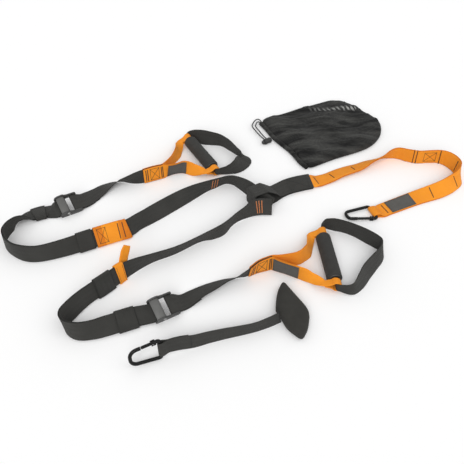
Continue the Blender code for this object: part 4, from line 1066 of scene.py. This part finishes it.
def snap_hook(name, hook_frame, length, base, nose, hinge_at, offset):
    """Body and gate; the frame's x runs from the base, which the strap holds, to the nose."""
    half, tip = base / 2, nose / 2
    corners = [(0.0, half), (0.0, -half), (length, offset - tip), (length, offset + tip)]
    path = rounded(corners, [ROD_BEND, ROD_BEND, tip * 0.9, tip * 0.9])
    slope = Vector((length, offset + tip - half)).normalized()
    start = Vector((0.0, half))
    hinge = start + slope * hinge_at
    mouth = start + slope * (length - tip - 0.006)
    path = [(hinge.x - 0.001, hinge.y + 0.0001)] + path + [(mouth.x, mouth.y)]
    mesh = rod_body(name + "_rod", [Vector((x, y, 0.0)) for x, y in path], ROD_RADIUS)
    turn = Matrix.Translation((hinge.x, hinge.y, 0.0)) @ Matrix.Rotation(math.atan2(slope.y, slope.x), 4, "Z")
    cheeks(mesh, turn)
    mesh.transform(hook_frame)
    link(name + "_rod", mesh, black_gloss, name + "_hook", name + "_carabiner_body")
    reach = (mouth - hinge).length - 0.0005
    gate_line = [Vector((-0.0022 + (reach + 0.0022) * k / 12, 0.0, 0.0)) for k in range(13)]
    gate_mesh = rod_body(name + "_gate_rod", gate_line, GATE_RADIUS)
    gate_mesh.transform(hook_frame @ turn)
    link(name + "_gate_rod", gate_mesh, black_gloss, name + "_gate", name + "_carabiner_gate")
    softened(f"{name}_carabiner_gate_pin", zinc, name + "_hook", 0.00015)


def rod_body(name, line, radius):
    """A smooth rod with softened ends."""
    lead, tail = (line[0] - line[1]).normalized(), (line[-1] - line[-2]).normalized()
    shrink = [(0.55, 0.0), (0.88, 0.0004), (1.0, 0.0010)]
    spots = [(line[0] - lead * back, -lead, share) for share, back in shrink]
    spots += [(point, (line[i + 2] - line[i]).normalized(), 1.0) for i, point in enumerate(line[1:-1])]
    spots += [(line[-1] - tail * back, tail, share) for share, back in reversed(shrink)]
    return skin(name, [circle(point, travel.cross(UP), UP, radius * share, 24)
                       for point, travel, share in spots])


def cheeks(mesh, turn):
    """Two flat ears beside the gate's tail, added to the rod."""
    bm = bmesh.new()
    bm.from_mesh(mesh)
    for face in (-1, 1):
        ear = bmesh.ops.create_cube(bm, size=1.0)["verts"]
        bmesh.ops.scale(bm, vec=CHEEK_SIZE, verts=ear)
        bmesh.ops.translate(bm, vec=(-0.0012, 0.0, face * (GATE_RADIUS + GAP + 0.0009)), verts=ear)
        edges = {edge for vert in ear for edge in vert.link_edges}
        shaped = bmesh.ops.bevel(bm, geom=list(edges), offset=0.0006, segments=3, affect="EDGES", profile=0.5)
        bmesh.ops.transform(bm, matrix=turn, verts=list({v for f in shaped["faces"] for v in f.verts}
                                                        | {v for v in ear if v.is_valid}))
    bm.to_mesh(mesh)
    bm.free()


black_gloss = gloss_material()
snap_hook("anchor", frame_of(anchor_rod, anchor_travel, anchor_across), **HOOKS["anchor"])
door_rows = stations(DOOR_ROUTE, width=DOOR_STRAP_WIDTH, plies=2, step=0.012)
door_first, door_across, door_out, door_wide = door_rows[0]
door_travel = door_rows[1][0] - door_first
door_travel.z = 0.0
door_travel.normalize()
door_rod = door_first - door_travel * ROD_AHEAD["door"]
snap_hook("door", frame_of(door_rod, -door_travel, door_across), **HOOKS["door"])

# Door anchor strap and pad
# Narrow black webbing folded round its snap hook and sewn to a soft pad that a shut door holds back.
# The pad is a stuffed cloth form with a pulled-in rim.
door_bend = ROD_RADIUS + GAP + STRAP_THICK / 2
door_turn = [(door_rod + door_travel * x + door_out * z, door_across, door_out, door_wide)
             for x, z in arc_path((0, 0), door_bend, 90, 270)]
door_main = [(m + n * blend(0.5, 0.0, (i - DOOR_FOLD) / 2) * PITCH, a, n, w)
             for i, (m, a, n, w) in enumerate(door_rows)]
door_plies = door_main[::-1] + door_turn + ply(door_rows[:DOOR_FOLD], -0.5)
door_band = webbing("door_webbing", door_plies, black_weave, "door_strap")
door_end = door_main[-1][0]
door_run = (door_end - door_main[-2][0]).normalized()
for vert in door_band.data.vertices:
    near_end = blend(0.0, 1.0, 1.0 + (vert.co - door_end).dot(door_run) / DOOR_SLANT_RUN)
    vert.co += door_run * (DOOR_REACH - DOOR_SLANT * max(0.0, vert.co.z)) * near_end
door_mark = run_of(door_rows)[DOOR_FOLD] - DOOR_SEAM_BACK
door_seams = [line for face in (outer_face, -outer_face)
              for line in cross_bar(door_rows, door_mark, SEAM_HALF["door"], face)]
sewn("door_seams", door_seams, black_thread, pitch=0.0014, stitch=0.0014)

PAD_OUTLINE = [(82, -230), (83, -215), (86, -195), (91, -178), (100, -161), (108, -173), (124, -200),
               (140, -228), (144, -247), (139, -275), (132, -291), (126, -298), (115, -289), (101, -273),
               (92, -253)]
PAD_MIDDLE = (111, -232)
PAD_THICK = 0.025
PAD_RIM = 0.0095


def pillow(name, outline, middle, thick, material, node, rings, spokes, edge, rim, soften,
           swell=lambda x, y: 1.0, folds=lambda x, y: 0.0):
    """A stuffed form over a drawn outline: flat where it lies, crowned above, with a drawn-in rim."""
    centre = np.array(middle, float)
    arms = smooth_line(outline + outline[:1], 0.003)[:-1] - centre
    angles = np.unwrap(np.arctan2(arms[:, 1], arms[:, 0]))
    radii = np.hypot(arms[:, 0], arms[:, 1])
    if angles[-1] < angles[0]:
        angles, radii = angles[::-1], radii[::-1]
    turn = 2 * math.pi
    angles = np.r_[angles - turn, angles, angles + turn]
    radii = np.r_[radii, radii, radii]
    rounding = np.radians(np.linspace(-soften, soften, 9))
    mesh = bpy.data.meshes.new(name)
    bm = bmesh.new()
    bmesh.ops.create_uvsphere(bm, u_segments=spokes, v_segments=rings, radius=1.0)
    for vert in bm.verts:
        x, y, z = vert.co
        angle = math.atan2(y, x)
        spread = math.hypot(x, y)
        reach = np.interp(angle + rounding, angles, radii).mean()
        fill = spread ** 0.8
        across, along = centre[0] + math.cos(angle) * reach * fill, centre[1] + math.sin(angle) * reach * fill
        crown = abs(z) ** edge
        if z > 0.0:
            high = rim + (thick - rim) * crown * swell(across, along)
            high += folds(across, along) * min(1.0, crown * 2.2)
        else:
            high = rim * max(0.0, 1.0 - 1.3 * crown)
        vert.co = at(across, along, high / MM)
    for face in bm.faces:
        face.smooth = True
    bm.to_mesh(mesh)
    bm.free()
    return link(name, mesh, material, "webbing_set", node)


def cover_material():
    """Soft pad cover: close plain cloth with a loose nap."""
    look = Finish("pad_cloth", (0.040, 0.039, 0.035), 0.9, sheen=0.05, specular=0.2)
    look.bump(look.noise(1400.0, 2.0), 0.35, 0.0003)
    look.shade(look.noise(45.0, 5.0), (0.024, 0.0235, 0.021), (0.043, 0.0415, 0.037))
    return look.material


pad = pillow("door_cushion", PAD_OUTLINE, PAD_MIDDLE, PAD_THICK, cover_material(), "door_pad",
             rings=48, spokes=160, edge=0.62, rim=PAD_RIM, soften=2.5)

# Mesh bag
# Knitted black net, slack over what it holds, creased along its length; a rolled hem makes the mouth.
BAG_OUTLINE = [(79.5, 422), (87, 438), (125, 455), (185, 487), (240, 519), (285, 529), (321, 512), (352, 478),
               (378, 443), (388, 405), (376, 355), (336, 306), (250, 261), (201, 232), (185, 227),
               (171, 249), (151, 294), (116, 348), (91.5, 401)]
BAG_MIDDLE = (240, 380)
BAG_THICK = 0.024
BAG_RIM = 0.0050
HEM_ROUTE = [(76, 420), (88, 396), (111, 346), (146, 292), (166, 247), (180, 226)]
HEM_RADIUS = 0.0055
FOLD_HEADING = 20.0
SHOW_THROUGH = dict(over=0.386, slope=-0.02, half=0.013, start=0.172, end=0.302, dash=0.0125)


def net_material():
    """Fine knitted net over a dark lining; the floor shows where it lies single, near the far edge."""
    look = Finish("bag_net", (0.020, 0.020, 0.019), 0.8, sheen=0.03, specular=0.2)
    cells = look.texture("TexVoronoi", look.place(), "Distance", Scale=620.0, Randomness=0.2)
    look.bump(cells, 0.5, 0.0006)
    grain = look.texture("Mapping", look.place(), 0, Rotation=(0.0, 0.0, math.radians(-FOLD_HEADING)),
                         Scale=(11.0, 55.0, 30.0))
    tone = look.noise(1.0, 4.0, grain) * 1.5 + cells * 0.45
    dark = look.mix(tone * 1.7 - 1.32, (0.003, 0.003, 0.003), (0.062, 0.062, 0.058))
    along, over = look.axes(look.place())
    show = SHOW_THROUGH
    away = (over + along * show["slope"] - show["over"]).math("ABSOLUTE") * (-1 / show["half"]) + 1.0
    dashes = ((along + over * 0.35) * (2 * math.pi / show["dash"])).math("SINE")
    holes = (dashes + look.noise(75.0, 2.0) * 3.2).math("GREATER_THAN", 1.75)
    span = along.math("GREATER_THAN", show["start"]) * along.math("LESS_THAN", show["end"])
    gaps = (holes * away * span * (along - 0.155) * 7.0).math("MAXIMUM", 0.0)
    look.shade(gaps * 0.95, dark, (0.42, 0.42, 0.40))
    return look.material


def bag_swell(x, y):
    return 0.72 + 0.28 * math.sin(x * MM * 45) * math.cos(y * MM * 38)


def bag_folds(x, y):
    """Creases that run from the mouth towards the closed end, with soft dents between them."""
    turn = math.radians(FOLD_HEADING)
    along = x * math.cos(turn) + y * math.sin(turn)
    over = y * math.cos(turn) - x * math.sin(turn)
    bend = over + 9.0 * noise.noise((along * 0.014, over * 0.010, 3.0))
    soft = noise.noise((along * 0.010, bend * 0.042, 0.0))
    soft += 0.5 * noise.noise((along * 0.018, bend * 0.095, 7.0))
    crease = max(0.0, 1.0 - 7.0 * abs(noise.noise((along * 0.008, bend * 0.036, 11.0)))) ** 2
    return 0.0030 * soft + 0.0026 * crease


net = net_material()
bag = pillow("bag_net", BAG_OUTLINE, BAG_MIDDLE, BAG_THICK, net, "bag_body", rings=90,
             spokes=300, edge=0.6, rim=BAG_RIM, soften=1.8, swell=bag_swell, folds=bag_folds)
hem_line = [at(x, y, HEM_RADIUS / MM) for x, y in smooth_line(HEM_ROUTE, 0.004)]
hem_mesh = tube("mouth_hem", hem_line, HEM_RADIUS, 24)[0]
link("mouth_hem", hem_mesh, net, "webbing_set", "bag_hem")

# Cord lock
# A barrel of black plastic with a sprung button; the two strands enter its side.
lock_moulding = moulded_material("lock_moulding", (0.006, 0.006, 0.006), (0.020, 0.020, 0.019), 0.5)
softened("cord_lock_body", lock_moulding, "webbing_set", 0.0005, 3)
softened("cord_lock_button", lock_moulding, "lock_button", 0.0004, 3)

# Room
# A pale floor that shows white to the camera and keeps the set's shadow, in broad soft daylight.
FLOOR_SIZE = 30.0
SKY = 0.58
SUNS = {"key": ((-0.2, -1.5, 1.15), 1.65, 40.0), "fill": ((1.0, -0.5, 1.2), 0.45, 60.0)}


def seen_direct(tree):
    """1 for rays that come straight, or off metal or glass, from the camera; 0 for the light that bounces."""
    path = new_node(tree, "ShaderNodeLightPath").outputs
    direct = Wire(tree, path["Is Camera Ray"]).math("MAXIMUM", Wire(tree, path["Is Glossy Ray"]))
    return direct.math("MAXIMUM", Wire(tree, path["Is Transmission Ray"]))


floor_look = Finish("pale_floor", (0.72, 0.72, 0.72), 0.9, specular=0.0)
floor_look.shade(seen_direct(floor_look.tree), (0.72, 0.72, 0.72), (1.0, 1.0, 1.0))
floor_mesh = bpy.data.meshes.new("floor")
bm = bmesh.new()
bmesh.ops.create_grid(bm, x_segments=1, y_segments=1, size=FLOOR_SIZE / 2)
bm.to_mesh(floor_mesh)
bm.free()
floor = bpy.data.objects.new("floor", floor_mesh)
bpy.context.scene.collection.objects.link(floor)
floor_mesh.materials.append(floor_look.material)
floor.location.z = -0.0002

world = bpy.data.worlds.new("studio")
bpy.context.scene.world = world
world.use_nodes = True
sky = world.node_tree.nodes["Background"]
sky.inputs["Color"].default_value = (1.0, 1.0, 1.0, 1.0)
feed(world.node_tree, seen_direct(world.node_tree) * (1.0 - SKY) + SKY, sky.inputs["Strength"])

for label, (place, power, spread) in SUNS.items():
    sun_data = bpy.data.lights.new(label, "SUN")
    sun_data.energy = power
    sun_data.angle = math.radians(spread)
    sun = bpy.data.objects.new(label, sun_data)
    sun.rotation_euler = Vector(place).to_track_quat("Z", "Y").to_euler()
    bpy.context.scene.collection.objects.link(sun)

bpy.context.scene.view_settings.view_transform = "Standard"
